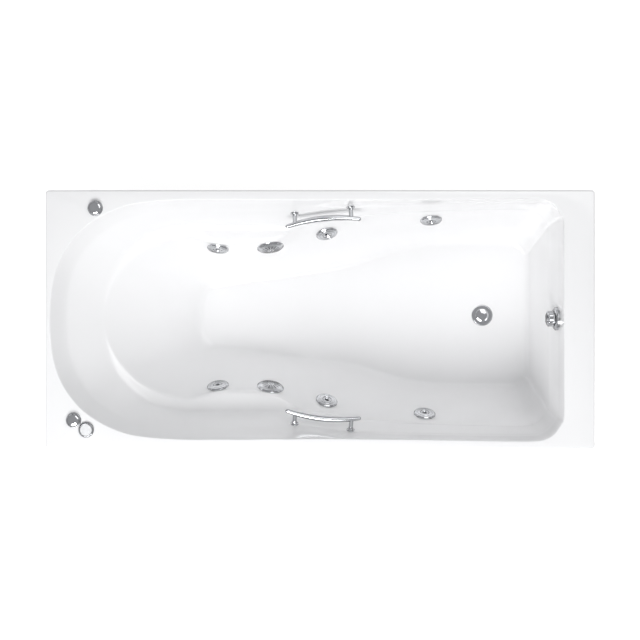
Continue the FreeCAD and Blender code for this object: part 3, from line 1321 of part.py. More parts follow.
cable_side = 42
cable_height = floor_top - 50
cable_route = [Vec(down_at.x, barrel / 2 - 0.5, down_at.z), Vec(down_at.x, cable_side, down_at.z),
               Vec(down_at.x, cable_side, cable_height),
               Vec(drain_x.value, cable_side, cable_height),
               Vec(drain_x.value, drain_barrel_r.value + 4, cable_height)]
cable_start = overflow_seat.cylinder(barrel, chamber_end, 0)
cable_solid = pipe(cable_route, 14, 5).cut(cable_start)
keep(solid_feature("plug_cable", cable_solid), "plug_cable")

# ---------------------------------------------------------------- grips
# Along a grip bar: share of its length, and how far it has swollen from its ends to its middle.  The
# first and last steps round off its tips.
grip_swell = [(-0.022, -1), (-0.015, -0.35), (0, 0), (0.15, 0.48), (0.3, 0.83), (0.43, 0.98),
              (0.57, 0.98), (0.7, 0.83), (0.85, 0.48), (1, 0), (1.015, -0.35), (1.022, -1)]
for side, pair in zip((1, -1), grip_seats):
    reach = z.grip_reach.value
    near, far = pair[0].at(reach), pair[1].at(reach)
    wallward = Vec(-(pair[0].inward + pair[1].inward).x, -(pair[0].inward + pair[1].inward).y, 0).normalize()
    middle = (near + far) / 2 + wallward * z.grip_bow.value
    between_posts = Part.Arc(near, middle, far).toShape()
    first, last = between_posts.ParameterRange
    extra = z.grip_over.value / between_posts.Curve.Radius
    curve = Part.ArcOfCircle(between_posts.Curve, first - extra, last + extra)
    stations = []
    for share, swell in grip_swell:
        place = curve.FirstParameter + share * (curve.LastParameter - curve.FirstParameter)
        size = z.grip_end_dia.value + swell * (z.grip_mid_dia - z.grip_end_dia).value
        stations.append(Part.Wire(Part.makeCircle(size / 2, curve.value(place), curve.tangent(place)[0])))
    bar = Part.makeLoft(stations, True, True)
    pieces = []
    for seat in pair:
        pieces.append(seat.cylinder(z.grip_post_dia.value, 0, reach))
        pieces.append(seat.cylinder(z.grip_foot_dia.value, 0, z.grip_foot_thick.value))
        pieces.append(seat.cylinder(z.grip_stud_dia.value, -z.grip_stud_long.value, 0))
    label = "grip_bar_" + side_names[side]
    keep(solid_feature(label, bar.fuse(pieces).removeSplitter()), label)
grip_nut = padded("grip_nut_blank", [hexagon(z.grip_nut_flats)], z.grip_nut_thick,
                  circles=[(0, 0, z.grip_stud_dia + 2 * z.run_gap)])
put(grip_nut, height=-z.seat_wall - z.grip_nut_thick)
copies("grip_nuts", grip_nut, [seat.placement for pair in grip_seats for seat in pair])

# ---------------------------------------------------------------- deck controls
control_r = z.control_dia / 2
screw_r = z.control_barrel_dia / 2
bezel_rise = 4
barb_end = z.control_long + 12
barb_r = z.air_dia / 2 - z.air_wall - z.run_gap
air_body = lathe("air_body_blank", [
    (spindle_r + z.run_gap, bezel_rise), (control_r - 2, bezel_rise), (control_r, 1.5), (control_r, 0),
    (screw_r, 0), (screw_r, -z.control_long + 2), (barb_r, -z.control_long + 2), (barb_r, -barb_end),
    (spindle_r + z.run_gap, -barb_end)])
copies("air_control_bodies", air_body, [FreeCAD.Placement(place, Turn()) for place in control_places])
cap_r = z.knob_dia / 2
for side, name in side_names.items():
    spot = FreeCAD.Placement(controls[side], Turn())
    cap = lathe("air_knob_" + name, [
        (0, 17), (cap_r * 0.45, 16.9), (cap_r * 0.75, 16.1), (cap_r * 0.93, 14.4), (cap_r, 12),
        (cap_r, bezel_rise + z.free_gap), (spindle_r, bezel_rise + z.free_gap), (spindle_r, -20),
        (0, -20)])
    flute = new_sketch(cap, "XY_Plane", "air_flute_" + name)
    draw_circle(flute, cap_r + 3, 0, 9)
    flute_cut = cap.newObject("PartDesign::Pocket", "air_flute_cut_" + name)
    flute_cut.Profile = flute
    flute_cut.Reversed = True
    flute_cut.Length = 40
    flutes = cap.newObject("PartDesign::PolarPattern", "air_flutes_" + name)
    flutes.Originals = [flute_cut]
    flutes.Axis = (flute, ["N_Axis"])
    flutes.Angle = 360
    flutes.Occurrences = 8
    cap.Tip = flutes
    cap.Placement = spot
    keep(cap, "air_knob_" + name)

start_spot = FreeCAD.Placement(start_place, Turn())
button_r = z.button_dia / 2
well_r = button_r + z.free_gap
well_floor = 1
nipple_r = z.switch_tube_dia / 2
nipple_end = 54
start_body = lathe("start_body", [
    (spindle_r + z.run_gap, well_floor), (well_r, well_floor), (well_r, 8), (control_r - 3, 8),
    (control_r, 5), (control_r, 0), (screw_r, 0), (screw_r, -46), (nipple_r, -46),
    (nipple_r, -nipple_end), (0, -nipple_end), (0, -30), (spindle_r + z.run_gap, -30)])
start_body.Placement = start_spot
keep(start_body, "start_body")
button_low = well_floor + z.button_travel + z.free_gap
button = lathe("start_button", [
    (0, 9), (button_r * 0.62, 9), (button_r * 0.66, 8.4), (button_r - 1.2, 8.8), (button_r, 8),
    (button_r, button_low), (spindle_r, button_low), (spindle_r, -22), (0, -22)])
button.Placement = start_spot
keep(button, "start_button")
nut_low = -z.shell_wall - z.control_nut_thick
nut_r = z.control_nut_dia / 2
control_nut = lathe("control_nut_blank", [
    (screw_r + z.run_gap, nut_low), (nut_r, nut_low), (nut_r, -z.shell_wall),
    (screw_r + z.run_gap, -z.shell_wall)])
copies("control_nuts", control_nut, [FreeCAD.Placement(place, Turn())
                                     for place in control_places + [start_place]])

tube_low = hose_spot.z
tube_route = [start_place - Vec(0, 0, nipple_end), Vec(start_place.x, start_place.y, tube_low),
              Vec(hose_spot.x, hose_spot.y - 90, tube_low), hose_spot]
keep(solid_feature("switch_tube", pipe(tube_route, 30, z.switch_tube_dia.value)), "switch_tube")

# ---------------------------------------------------------------- checks and export
doc.recompute()
for obj in doc.Objects:
    if {"Invalid", "Error"} & set(obj.State):
        raise RuntimeError("failed object: %s %s" % (obj.Name, obj.State))
for obj in parts:
    if obj.Shape.isNull() or not obj.Shape.isValid() or not obj.Shape.Solids:
        raise RuntimeError("bad shape: " + obj.Label)
os.makedirs("parts", exist_ok=True)
for obj in parts:
    obj.Shape.exportStep("parts/%s.step" % obj.Label)
print("%d sub-parts written" % len(parts))
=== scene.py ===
import json
import math

import bmesh
import bpy
import numpy as np
from mathutils import Matrix, Vector


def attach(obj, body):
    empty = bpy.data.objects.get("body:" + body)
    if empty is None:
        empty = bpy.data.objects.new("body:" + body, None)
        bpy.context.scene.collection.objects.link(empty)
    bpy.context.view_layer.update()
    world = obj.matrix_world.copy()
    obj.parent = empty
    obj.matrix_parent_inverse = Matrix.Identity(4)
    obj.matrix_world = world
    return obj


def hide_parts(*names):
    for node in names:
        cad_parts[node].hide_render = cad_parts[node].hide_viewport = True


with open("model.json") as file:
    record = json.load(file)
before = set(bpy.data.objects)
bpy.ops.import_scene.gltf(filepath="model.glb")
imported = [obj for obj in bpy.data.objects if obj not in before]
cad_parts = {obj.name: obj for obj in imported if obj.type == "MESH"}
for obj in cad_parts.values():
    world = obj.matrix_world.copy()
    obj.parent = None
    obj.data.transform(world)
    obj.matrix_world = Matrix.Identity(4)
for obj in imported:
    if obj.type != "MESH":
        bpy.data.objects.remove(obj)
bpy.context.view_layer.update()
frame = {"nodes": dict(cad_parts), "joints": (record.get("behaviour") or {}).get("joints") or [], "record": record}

# Jetted bathtub seen from straight above: white acrylic shell, chrome fittings, pump and pipes below.
# Metres, +X towards the drain end, +Z up, the floor at z = 0.
mm = 0.001
nodes = frame["nodes"]
joints = {joint["name"]: joint for joint in frame["joints"]}
nodeSlots = {part["node"]: part["material_slot"] for part in frame["record"]["subparts"]}
print("frame loaded:", len(nodes), "nodes")

# camera: the photograph is taken from straight above, with the lens over the far side of the tub
cameraSetup = {
    "imageSize": 640,
    "millimetresPerPixel": 3.093,  # at the rim
    "aboveRim": 4000,
    "rimHeight": 580,
    "belowLensPixel": (320.2, 275.0),
    "rimCentrePixel": (320.2, 319.5),
    "sensorWidth": 36.0,
}


def linkedObject(name, data):
    holder = bpy.data.objects.new(name, data)
    bpy.context.scene.collection.objects.link(holder)
    return holder


def addCamera(setup):
    size = setup["imageSize"]
    scale = setup["millimetresPerPixel"] * mm
    lensX, lensY = setup["belowLensPixel"]
    rimX, rimY = setup["rimCentrePixel"]
    camera = bpy.data.cameras.new("photoCamera")
    camera.sensor_width = setup["sensorWidth"]
    camera.lens = setup["sensorWidth"] * setup["aboveRim"] * mm / (size * scale)
    camera.shift_x = (size / 2 - lensX) / size
    camera.shift_y = (lensY - size / 2) / size
    camera.clip_end = 50
    holder = linkedObject("photoCamera", camera)
    holder.location = ((lensX - rimX) * scale, (rimY - lensY) * scale,
                       (setup["rimHeight"] + setup["aboveRim"]) * mm)
    bpy.context.scene.camera = holder


addCamera(cameraSetup)

# light: one broad lamp overhead towards the near side, a weaker one opposite, and a pale room
studio = {
    "keyPlace": (-0.7, -2.55, 4.0),
    "keySize": 2.6,
    "keyPower": 147,
    "fillPlace": (1.6, 1.8, 4.0),
    "fillSize": 3.0,
    "fillPower": 34,
    "aimAt": (0.0, 0.0, 0.4),
    "roomLight": 0.36,
    "roomColour": (0.97, 0.98, 1.0, 1),
    "floorSize": 24.0,
    "floorColour": (0.90, 0.90, 0.90, 1),
    "floorRoughness": 0.9,
    "floorLift": 0.62,
}


def addLamp(name, place, size, power, aim):
    lamp = bpy.data.lights.new(name, "AREA")
    lamp.shape = "DISK"
    lamp.size = size
    lamp.energy = power
    holder = linkedObject(name, lamp)
    holder.location = place
    holder.rotation_euler = (Vector(aim) - Vector(place)).to_track_quat("-Z", "Y").to_euler()


def connect(tree, sockets, values):
    # each value is another node's socket, which is linked, or a plain value, which is set
    for key, value in values.items():
        if isinstance(value, bpy.types.NodeSocket):
            tree.links.new(value, sockets[key])
        else:
            sockets[key].default_value = value


def addNode(tree, kind, values=None, **settings):
    node = tree.nodes.new(kind)
    for key, value in settings.items():
        setattr(node, key, value)
    connect(tree, node.inputs, values or {})
    return node


def maths(tree, operation, *values):
    return addNode(tree, "ShaderNodeMath", dict(enumerate(values)), operation=operation).outputs[0]


def newMaterial(name):
    material = bpy.data.materials.new(name)
    material.use_nodes = True
    return material, material.node_tree, material.node_tree.nodes["Principled BSDF"]


def seenDirectly(tree):
    # 1 for camera and transmission rays, 0 for the light that falls on things and for reflections
    path = addNode(tree, "ShaderNodeLightPath")
    return maths(tree, "MAXIMUM", path.outputs["Is Camera Ray"], path.outputs["Is Transmission Ray"])


def addStudio(setup):
    addLamp("keyLamp", setup["keyPlace"], setup["keySize"], setup["keyPower"], setup["aimAt"])
    addLamp("fillLamp", setup["fillPlace"], setup["fillSize"], setup["fillPower"], setup["aimAt"])
    world = bpy.data.worlds.new("paleRoom")
    world.use_nodes = True
    bpy.context.scene.world = world
    tree = world.node_tree
    room = tree.nodes["Background"]
    room.inputs["Strength"].default_value = setup["roomLight"]
    room.inputs["Color"].default_value = setup["roomColour"]
    white = addNode(tree, "ShaderNodeBackground", {"Color": (1, 1, 1, 1)})
    mix = addNode(tree, "ShaderNodeMixShader", {0: seenDirectly(tree), 1: room.outputs[0], 2: white.outputs[0]})
    tree.links.new(mix.outputs[0], tree.nodes["World Output"].inputs["Surface"])
    half = setup["floorSize"] / 2
    corners = [(-half, -half, 0), (half, -half, 0), (half, half, 0), (-half, half, 0)]
    mesh = bpy.data.meshes.new("floor")
    mesh.from_pydata(corners, [], [(0, 1, 2, 3)])
    material, tree, surface = newMaterial("paleFloor")
    surface.inputs["Base Color"].default_value = setup["floorColour"]
    surface.inputs["Roughness"].default_value = setup["floorRoughness"]
    lift = maths(tree, "MULTIPLY", seenDirectly(tree), setup["floorLift"])
    glow = addNode(tree, "ShaderNodeEmission", {"Strength": lift})
    total = addNode(tree, "ShaderNodeAddShader", {0: surface.outputs[0], 1: glow.outputs[0]})
    tree.links.new(total.outputs[0], tree.nodes["Material Output"].inputs["Surface"])
    mesh.materials.append(material)
    linkedObject("floor", mesh)


addStudio(studio)
bpy.context.scene.view_settings.view_transform = "Standard"
print("camera and light set")


# materials: one group gives every finish its uneven tone, gloss and relief
def makeGroup(name, inputs, outputs):
    group = bpy.data.node_groups.new(name, "ShaderNodeTree")
    for way, sockets in (("INPUT", inputs), ("OUTPUT", outputs)):
        for label, kind in sockets:
            group.interface.new_socket(label, in_out=way, socket_type="NodeSocket" + kind)
    return group, group.nodes.new("NodeGroupInput"), group.nodes.new("NodeGroupOutput")


def surfaceUnevenness():
    group, given, made = makeGroup(
        "surfaceUnevenness",
        [("Patch Scale", "Float"), ("Grain Scale", "Float"), ("Tone A", "Color"), ("Tone B", "Color"),
         ("Smoothest", "Float"), ("Roughest", "Float")],
        [("Colour", "Color"), ("Roughness", "Float"), ("Height", "Float")])
    place = addNode(group, "ShaderNodeTexCoord").outputs["Object"]
    patches, grain = [
        addNode(group, "ShaderNodeTexNoise", {"Vector": place, "Scale": given.outputs[scale], "Detail": detail})
        for scale, detail in (("Patch Scale", 3), ("Grain Scale", 5))]
    tone = addNode(group, "ShaderNodeMixRGB", {
        "Fac": patches.outputs["Fac"], "Color1": given.outputs["Tone A"], "Color2": given.outputs["Tone B"]})
    gloss = addNode(group, "ShaderNodeMapRange", {
        "Value": patches.outputs["Fac"], "From Min": 0.3, "From Max": 0.7,
        "To Min": given.outputs["Smoothest"], "To Max": given.outputs["Roughest"]})
    group.links.new(tone.outputs["Color"], made.inputs["Colour"])
    group.links.new(gloss.outputs["Result"], made.inputs["Roughness"])
    group.links.new(grain.outputs["Fac"], made.inputs["Height"])
    return group


unevenness = surfaceUnevenness()

# per finish: two tones, smoothest and roughest, patch and grain scale, relief, then fixed shader values
finishes = {
    "acrylic": {"tones": ((0.925, 0.925, 0.93), (0.905, 0.905, 0.91)), "gloss": (0.10, 0.18),
                "scales": (5, 900), "relief": 0.02, "fixed": {"Coat Weight": 0.25, "Coat Roughness": 0.05}},
    "chrome": {"tones": ((0.78, 0.79, 0.81), (0.70, 0.71, 0.73)), "gloss": (0.05, 0.12),
               "scales": (30, 700), "relief": 0.01, "fixed": {"Metallic": 1.0}},
    "galvanised": {"tones": ((0.62, 0.63, 0.65), (0.45, 0.46, 0.48)), "gloss": (0.28, 0.5),
                   "scales": (60, 500), "relief": 0.08, "fixed": {"Metallic": 1.0}},
    "zinc": {"tones": ((0.70, 0.69, 0.64), (0.55, 0.54, 0.50)), "gloss": (0.2, 0.35),
             "scales": (120, 800), "relief": 0.04, "fixed": {"Metallic": 1.0}},
    "foot_pad": {"tones": ((0.035, 0.035, 0.036), (0.05, 0.05, 0.05)), "gloss": (0.45, 0.65),
                 "scales": (60, 1400), "relief": 0.15},
    "pipe_plastic": {"tones": ((0.82, 0.82, 0.80), (0.76, 0.76, 0.73)), "gloss": (0.3, 0.45),
                     "scales": (25, 1200), "relief": 0.05},
    "hose_plastic": {"tones": ((0.62, 0.68, 0.71), (0.55, 0.60, 0.64)), "gloss": (0.12, 0.25),
                     "scales": (30, 400), "relief": 0.05, "fixed": {"Transmission Weight": 0.35}},
    "rubber": {"tones": ((0.03, 0.03, 0.03), (0.045, 0.045, 0.045)), "gloss": (0.6, 0.8),
               "scales": (50, 1600), "relief": 0.12},
    "pump_paint": {"tones": ((0.045, 0.055, 0.07), (0.03, 0.035, 0.045)), "gloss": (0.35, 0.5),
                   "scales": (40, 1500), "relief": 0.12},
    "pump_plastic": {"tones": ((0.03, 0.03, 0.033), (0.045, 0.045, 0.05)), "gloss": (0.4, 0.6),
                     "scales": (40, 1300), "relief": 0.1},
    "impeller": {"tones": ((0.62, 0.60, 0.55), (0.55, 0.53, 0.48)), "gloss": (0.35, 0.5),
                 "scales": (60, 900), "relief": 0.05},
    "cable_cover": {"tones": ((0.04, 0.04, 0.045), (0.06, 0.06, 0.065)), "gloss": (0.4, 0.55),
                    "scales": (60, 1500), "relief": 0.1},
    "button_face": {"tones": ((0.82, 0.83, 0.84), (0.78, 0.79, 0.80)), "gloss": (0.22, 0.32),
                    "scales": (60, 1500), "relief": 0.03},
    "fastener_plastic": {"tones": ((0.74, 0.74, 0.72), (0.68, 0.68, 0.66)), "gloss": (0.35, 0.5),
                         "scales": (40, 1300), "relief": 0.06},
}


def addUnevenness(tree, surface, tones, gloss, scales):
    uneven = addNode(tree, "ShaderNodeGroup", node_tree=unevenness)
    connect(tree, uneven.inputs, {
        "Patch Scale": scales[0], "Grain Scale": scales[1], "Tone A": (*tones[0], 1), "Tone B": (*tones[1], 1),
        "Smoothest": gloss[0], "Roughest": gloss[1]})
    tree.links.new(uneven.outputs["Colour"], surface.inputs["Base Color"])
    tree.links.new(uneven.outputs["Roughness"], surface.inputs["Roughness"])
    return uneven


def addRelief(tree, surface, height, strength, distance):
    bump = addNode(tree, "ShaderNodeBump", {"Strength": strength, "Distance": distance * mm, "Height": height})
    tree.links.new(bump.outputs["Normal"], surface.inputs["Normal"])


def addRamp(tree, factor, stops):
    # the first and last stops are at 0 and 1
    ramp = addNode(tree, "ShaderNodeValToRGB", {"Fac": factor})
    elements = ramp.color_ramp.elements
    elements[0].color = (*stops[0][1], 1)
    elements[1].color = (*stops[-1][1], 1)
    for place, colour in stops[1:-1]:
        elements.new(place).color = (*colour, 1)
    return ramp.outputs["Color"]


def makeFinish(name, values):
    material, tree, surface = newMaterial(name)
    uneven = addUnevenness(tree, surface, values["tones"], values["gloss"], values["scales"])
    addRelief(tree, surface, uneven.outputs["Height"], values["relief"], 0.5)
    connect(tree, surface.inputs, values.get("fixed", {}))
    return material


def makeChromeWithPaintedReflection(name, values, shades):
    # painted reflection: the base colour is multiplied by grey bands that follow how far each facet turns from the
    # view, darkest on facets that turn away, standing in for the dark reflections polished metal shows in a pale
    # room
    material = makeFinish(name, values)
    tree = material.node_tree
    colour = tree.nodes["Principled BSDF"].inputs["Base Color"]
    facing = addNode(tree, "ShaderNodeLayerWeight", {"Blend": 0.5}).outputs["Facing"]
    # painted reflection: grey bands chosen by the facing value
    shade = addRamp(tree, facing, [(place, [grey] * 3) for place, grey in shades])
    tones = {"Fac": 1, "Color1": colour.links[0].from_socket, "Color2": shade}
    blend = addNode(tree, "ShaderNodeMixRGB", tones, blend_type="MULTIPLY")
    tree.links.new(blend.outputs["Color"], colour)
    return material


def makeParticleBoard():
    # pressed chips in a few shades under a thin clear seal
    material, tree, surface = newMaterial("board")
    place = addNode(tree, "ShaderNodeTexCoord").outputs["Object"]
    chips = addNode(tree, "ShaderNodeTexVoronoi", {"Vector": place, "Scale": 220, "Randomness": 1})
    grey = addNode(tree, "ShaderNodeRGBToBW", {"Color": chips.outputs["Color"]}).outputs["Val"]
    shade = addRamp(tree, grey, [(0, (0.30, 0.19, 0.09)), (0.5, (0.50, 0.36, 0.20)), (1, (0.66, 0.50, 0.31))])
    tree.links.new(shade, surface.inputs["Base Color"])
    addRelief(tree, surface, chips.outputs["Distance"], 0.3, 0.4)
    surface.inputs["Roughness"].default_value = 0.55
    return material


def makeGlassFibreBacking():
    # the shell's hidden side: chopped strands in resin, thick and thin in patches
    material, tree, surface = newMaterial("glassFibreBacking")
    uneven = addUnevenness(tree, surface, ((0.78, 0.77, 0.70), (0.66, 0.64, 0.55)), (0.35, 0.6), (14, 90))
    place = addNode(tree, "ShaderNodeTexCoord").outputs["Object"]
    strands = addNode(tree, "ShaderNodeTexWave", {
        "Vector": place, "Scale": 45, "Distortion": 18, "Detail": 4, "Detail Scale": 3})
    relief = maths(tree, "ADD", strands.outputs["Fac"], uneven.outputs["Height"])
    addRelief(tree, surface, relief, 0.6, 1.0)
    return material


materials = {name: makeFinish(name, values) for name, values in finishes.items()}
# painted reflection bands: grey level at each facing value, multiplied into the chrome's base colour
chromePaintedReflectionBands = ((0, 1.0), (0.14, 0.9), (0.32, 0.45), (0.5, 1.0), (0.74, 0.25), (0.9, 0.16), (1, 0.6))
materials["chrome"] = makeChromeWithPaintedReflection("polishedChrome", finishes["chrome"], chromePaintedReflectionBands)
materials["board"] = makeParticleBoard()
materials["backing"] = makeGlassFibreBacking()
for name, node in nodes.items():
    node.data.materials.clear()
    node.data.materials.append(materials[nodeSlots[name]])
print("finishes made:", len(materials))


def finishPiece(name, mesh, body, node, sharpAngle):
    mesh.name = name
    mesh.shade_smooth()
    mesh.set_sharp_from_angle(angle=math.radians(sharpAngle))
    piece = linkedObject(name, mesh)
    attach(piece, body)
    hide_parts(node)


def seatMatrix(centre, normal, across=(1, 0, 0)):
    normal = Vector(normal).normalized()
    across = Vector(across)
    across = (across - normal * across.dot(normal)).normalized()
    axes = Matrix((across, normal.cross(across), normal)).transposed()
    return Matrix.Translation(Vector(centre)) @ axes.to_4x4()


# tub shell: the same level lines as the solid, drawn finer
tubForm = {
    "length": 1700, "width": 800, "rimHeight": 580, "basinDepth": 420,
    "sideDeck": 30, "footDeck": 95, "headDeck": 14,
    "wall": 6, "backedWall": 8, "seatWall": 5,
    "rimCorner": 10, "rimRound": 5, "skirtDrop": 40,
    "bodyStations": (435, 516, 610, 685, 725, 755, 790, 833),
    "waist": 875, "legShares": (0, 0.0873, 0.2121, 0.3939, 0.6485),
    "slideShares": (1, 0.72, 0.35, 0.1) + (0,) * 9,
    # depth, run-in at the head, slide of the shoulders, fullness of the head, side insets, foot, corner
    "levelLines": (
        (0, -2, 0, 2.5, (-3, -3, -3, -2, -2, -2, -1.5, -1.5, -1.5, -2, -3, -5, -8), -2, 92),
        (0, 0, 0, 2.5, (-1, -1, -1, 0, 0, 0, 0.5, 0.5, 0.5, 0, -1, -3, -6), 0, 90),
        (9, 4, 0, 2.5, (2, 2, 2, 3, 3, 3, 3, 3.5, 3.5, 3, 2, 0, -3), 2, 88),
        (38, 18, 0, 2.46, (12, 13, 13, 14, 14, 14, 14, 13, 11, 7, 5, 3, 0), 5, 86),
        (64, 32, 0, 2.43, (24, 25, 25, 26, 26, 26, 25, 22, 17, 11, 8, 5, 2), 7, 85),
        (74, 39, 0, 2.42, (29, 30, 31, 31, 31, 31, 30, 26, 20, 13, 10, 7, 4), 8, 85),
        (93, 60, 0, 2.35, (38, 39, 39, 39, 39, 39, 37, 32, 25, 17, 13, 9, 6), 10, 84),
        (146, 118, 0, 2.12, (61, 62, 63, 63, 63, 63, 62, 59, 53, 40, 31, 23, 18), 15, 82),
        (160, 133, 0, 2.08, (67, 69, 70, 71, 72, 73, 72, 67, 59, 46, 35, 27, 21), 17, 81),
        (166, 140, 0, 2.05, (88, 98, 99, 97, 92, 84, 76, 69, 60, 47, 36, 28, 22), 17.5, 81),
        (168, 142, 0, 2, (108, 126, 128, 123, 111, 95, 79, 70, 61, 48, 37, 28, 22), 18, 81),
        (180, 155, 0, 2, (114, 133, 135, 130, 118, 102, 87, 80, 70, 56, 43, 33, 26), 19, 80),
        (225, 205, 15, 2.05, (134, 143, 144.5, 144, 135, 126, 117, 106, 95, 81, 68, 55, 44), 23, 78),
        (330, 320, 50, 2.2, (196, 196, 193, 189, 183, 177, 170, 161, 151, 134, 112, 90, 74), 32, 70),
        (400, 397, 75, 2.4, (242, 237, 230, 225, 220, 217, 212, 205, 199, 186, 160, 124, 112), 41, 60),
        (420, 424, 85, 2.6, (259, 251, 242, 237, 232, 228, 223, 217, 210, 198, 171, 136, 127), 48, 52),
        (420, 444, 85, 2.6, (277, 268, 258, 251, 246, 241, 236, 230, 224, 212, 184, 148, 141), 66, 40),
    ),
    "headSteps": 6, "cornerSteps": 4,
    # fineness of the mesh, and the rows of level lines where the hidden side and its thick part begin and end
    "around": 360, "down": 150, "hiddenDown": 60, "hiddenRows": (1.6, 13.6), "backedRows": (8.5, 9.5),
    "cornerPoints": 9, "edgeSteps": 5, "lip": 1.5, "underShare": 0.65, "cutterDepth": 90, "cutterSides": 64,
    "searchFrom": (8.0, 12.0), "searchTries": 30, "searchStride": 1.5,
    "seatSink": 0.2, "seatSoft": 10, "seatReach": 40,
}


def levelPoints(form, line):
    depth, headIn, slide, fullness, insets, footIn, corner = line
    halfLength = form["length"] / 2
    waist = form["waist"] - halfLength
    stations = [place - halfLength for place in form["bodyStations"]]
    stations += [waist + (halfLength - waist) * share for share in form["legShares"]]
    places = [x + slide * part for x, part in zip(stations, form["slideShares"])]
    widths = [form["width"] / 2 - form["sideDeck"] - inset for inset in insets]
    headX = -form["length"] / 2 + form["headDeck"] + headIn
    footX = form["length"] / 2 - form["footDeck"] - footIn
    side = []
    for i in range(1, form["headSteps"]):
        angle = math.pi / 2 * i / form["headSteps"]
        side.append((places[0] - (places[0] - headX) * math.cos(angle) ** (2 / fullness),
                     widths[0] * math.sin(angle) ** (2 / fullness)))
    side += list(zip(places, widths))
    for i in range(form["cornerSteps"] + 1):
        angle = math.pi / 2 * (1 - i / form["cornerSteps"])
        side.append((footX - corner + corner * math.cos(angle), widths[-1] - corner + corner * math.sin(angle)))
    side.append((footX, (widths[-1] - corner) / 2))
    ring = [(headX, 0)] + side + [(footX, 0)] + [(x, -y) for x, y in reversed(side)]
    return [(x, y, form["rimHeight"] - depth) for x, y in ring]


def ringWeights(count, steps):
    # cubic weights of a closed smooth line through count points, at each step round it
    system = sum(np.roll(np.eye(count), shift, axis=1) * weight for shift, weight in ((-1, 1), (0, 4), (1, 1)))
    weights = np.zeros((len(steps), count))
    for row, step in enumerate(steps):
        first = int(math.floor(step))
        share = step - first
        for offset, value in ((-1, (1 - share) ** 3), (0, 3 * share ** 3 - 6 * share ** 2 + 4),
                              (1, -3 * share ** 3 + 3 * share ** 2 + 3 * share + 1), (2, share ** 3)):
            weights[row, (first + offset) % count] += value
    return weights @ np.linalg.inv(system)


def depthWeights(count, steps):
    # cubic weights of the level lines, clamped at the rim and at the floor
    knots = [0] * 3 + list(range(count - 2)) + [count - 3] * 3
    weights = np.zeros((len(steps), count))
    for row, step in enumerate(steps):
        step = min(step, count - 3 - 1e-9)
        values = [1.0 if knots[i] <= step < knots[i + 1] else 0.0 for i in range(len(knots) - 1)]
        for degree in range(1, 4):
            values = [
                ((step - knots[i]) / (knots[i + degree] - knots[i]) * values[i]
                 if knots[i + degree] > knots[i] else 0)
                + ((knots[i + degree + 1] - step) / (knots[i + degree + 1] - knots[i + 1]) * values[i + 1]
                   if knots[i + degree + 1] > knots[i + 1] else 0)
                for i in range(len(values) - 1)]
        weights[row] = values
    return weights


class BasinSurface:
    def __init__(self, form):
        self.net = np.array([levelPoints(form, line) for line in form["levelLines"]], float)
        self.rows, self.columns = self.net.shape[:2]

    def grid(self, downSteps, roundSteps):
        across = ringWeights(self.columns, roundSteps)
        down = depthWeights(self.rows, downSteps)
        return np.einsum("ui,vj,ijk->uvk", down, across, self.net)

    def point(self, down, round_):
        return self.grid([down], [round_])[0, 0]

    def wallPoint(self, x, depth, side, rimHeight):
        # the wall's point at a place along the tub and a depth below the rim
        row, column = tubForm["searchFrom"]
        spot = np.array([row, column if side > 0 else self.columns - column])
        goal = np.array([x, rimHeight - depth])
        small = 1e-4
        stride = tubForm["searchStride"]
        for _ in range(tubForm["searchTries"]):
            here = self.point(*spot)
            miss = here[[0, 2]] - goal
            if abs(miss).max() < small:
                break
            slope = np.array([(self.point(*(spot + step)) - here)[[0, 2]] / small
                              for step in ((small, 0), (0, small))]).T
            spot = spot - np.clip(np.linalg.solve(slope, miss), -stride, stride)
        return here

    def seat(self, x, depth, side, radius, rimHeight):
        # a flat seat on the wall as the shell is cut for it: centre and inward direction
        def sample(dx, dz):
            return Vector(self.wallPoint(x + dx, depth + dz, side, rimHeight))
        along, up = sample(radius, 0) - sample(-radius, 0), sample(0, -radius) - sample(0, radius)
        inward = along.cross(up).normalized()
        if inward.y * side > 0:
            inward = -inward
        centre = sample(0, 0)
        bearings = [math.pi * i / 4 for i in range(8)]
        rim = [sample(radius * math.cos(angle), radius * math.sin(angle)) for angle in bearings]
        sink = max([(centre - point).dot(inward) for point in rim] + [0]) + tubForm["seatSink"]
        return centre - inward * sink, inward


basin = BasinSurface(tubForm)
print("basin surface ready")


def smoothShare(value, low, high):
    share = np.clip((value - low) / (high - low), 0, 1)
    return share * share * (3 - 2 * share)


def pressSeat(points, seat, radius, height):
    # points near the seat move onto its plane, with a soft edge round it
    centre, normal = np.array(seat[0]), np.array(seat[1])
    offset = points - centre
    rise = offset @ normal
    flat = np.linalg.norm(offset - rise[..., None] * normal, axis=-1)
    pull = (1 - smoothShare(flat, radius, radius + tubForm["seatSoft"])) * (np.abs(rise) < tubForm["seatReach"])
    return points - ((rise - height) * pull)[..., None] * normal


def rimOutline(form, inset, count, cornerAt):
    # rounded rectangle with a cluster of points on each corner
    halfX, halfY = form["length"] / 2 - inset, form["width"] / 2 - inset
    radius = max(form["rimCorner"] - inset, 1)
    points = form["cornerPoints"]
    steps, xs, ys = [], [], []
    for index, (signX, signY, start) in zip(cornerAt, ((-1, 1, 180), (1, 1, 90), (1, -1, 0), (-1, -1, -90))):
        for i in range(points):
            angle = math.radians(start - 90 * i / (points - 1))
            steps.append(index - points // 2 + i)
            xs.append(signX * (halfX - radius) + radius * math.cos(angle))
            ys.append(signY * (halfY - radius) + radius * math.sin(angle))
    steps = np.array(steps + [steps[0] + count], float)
    wanted = (np.arange(count) - steps[0]) % count + steps[0]
    return np.stack([np.interp(wanted, steps, values + values[:1]) for values in (xs, ys)], axis=1)


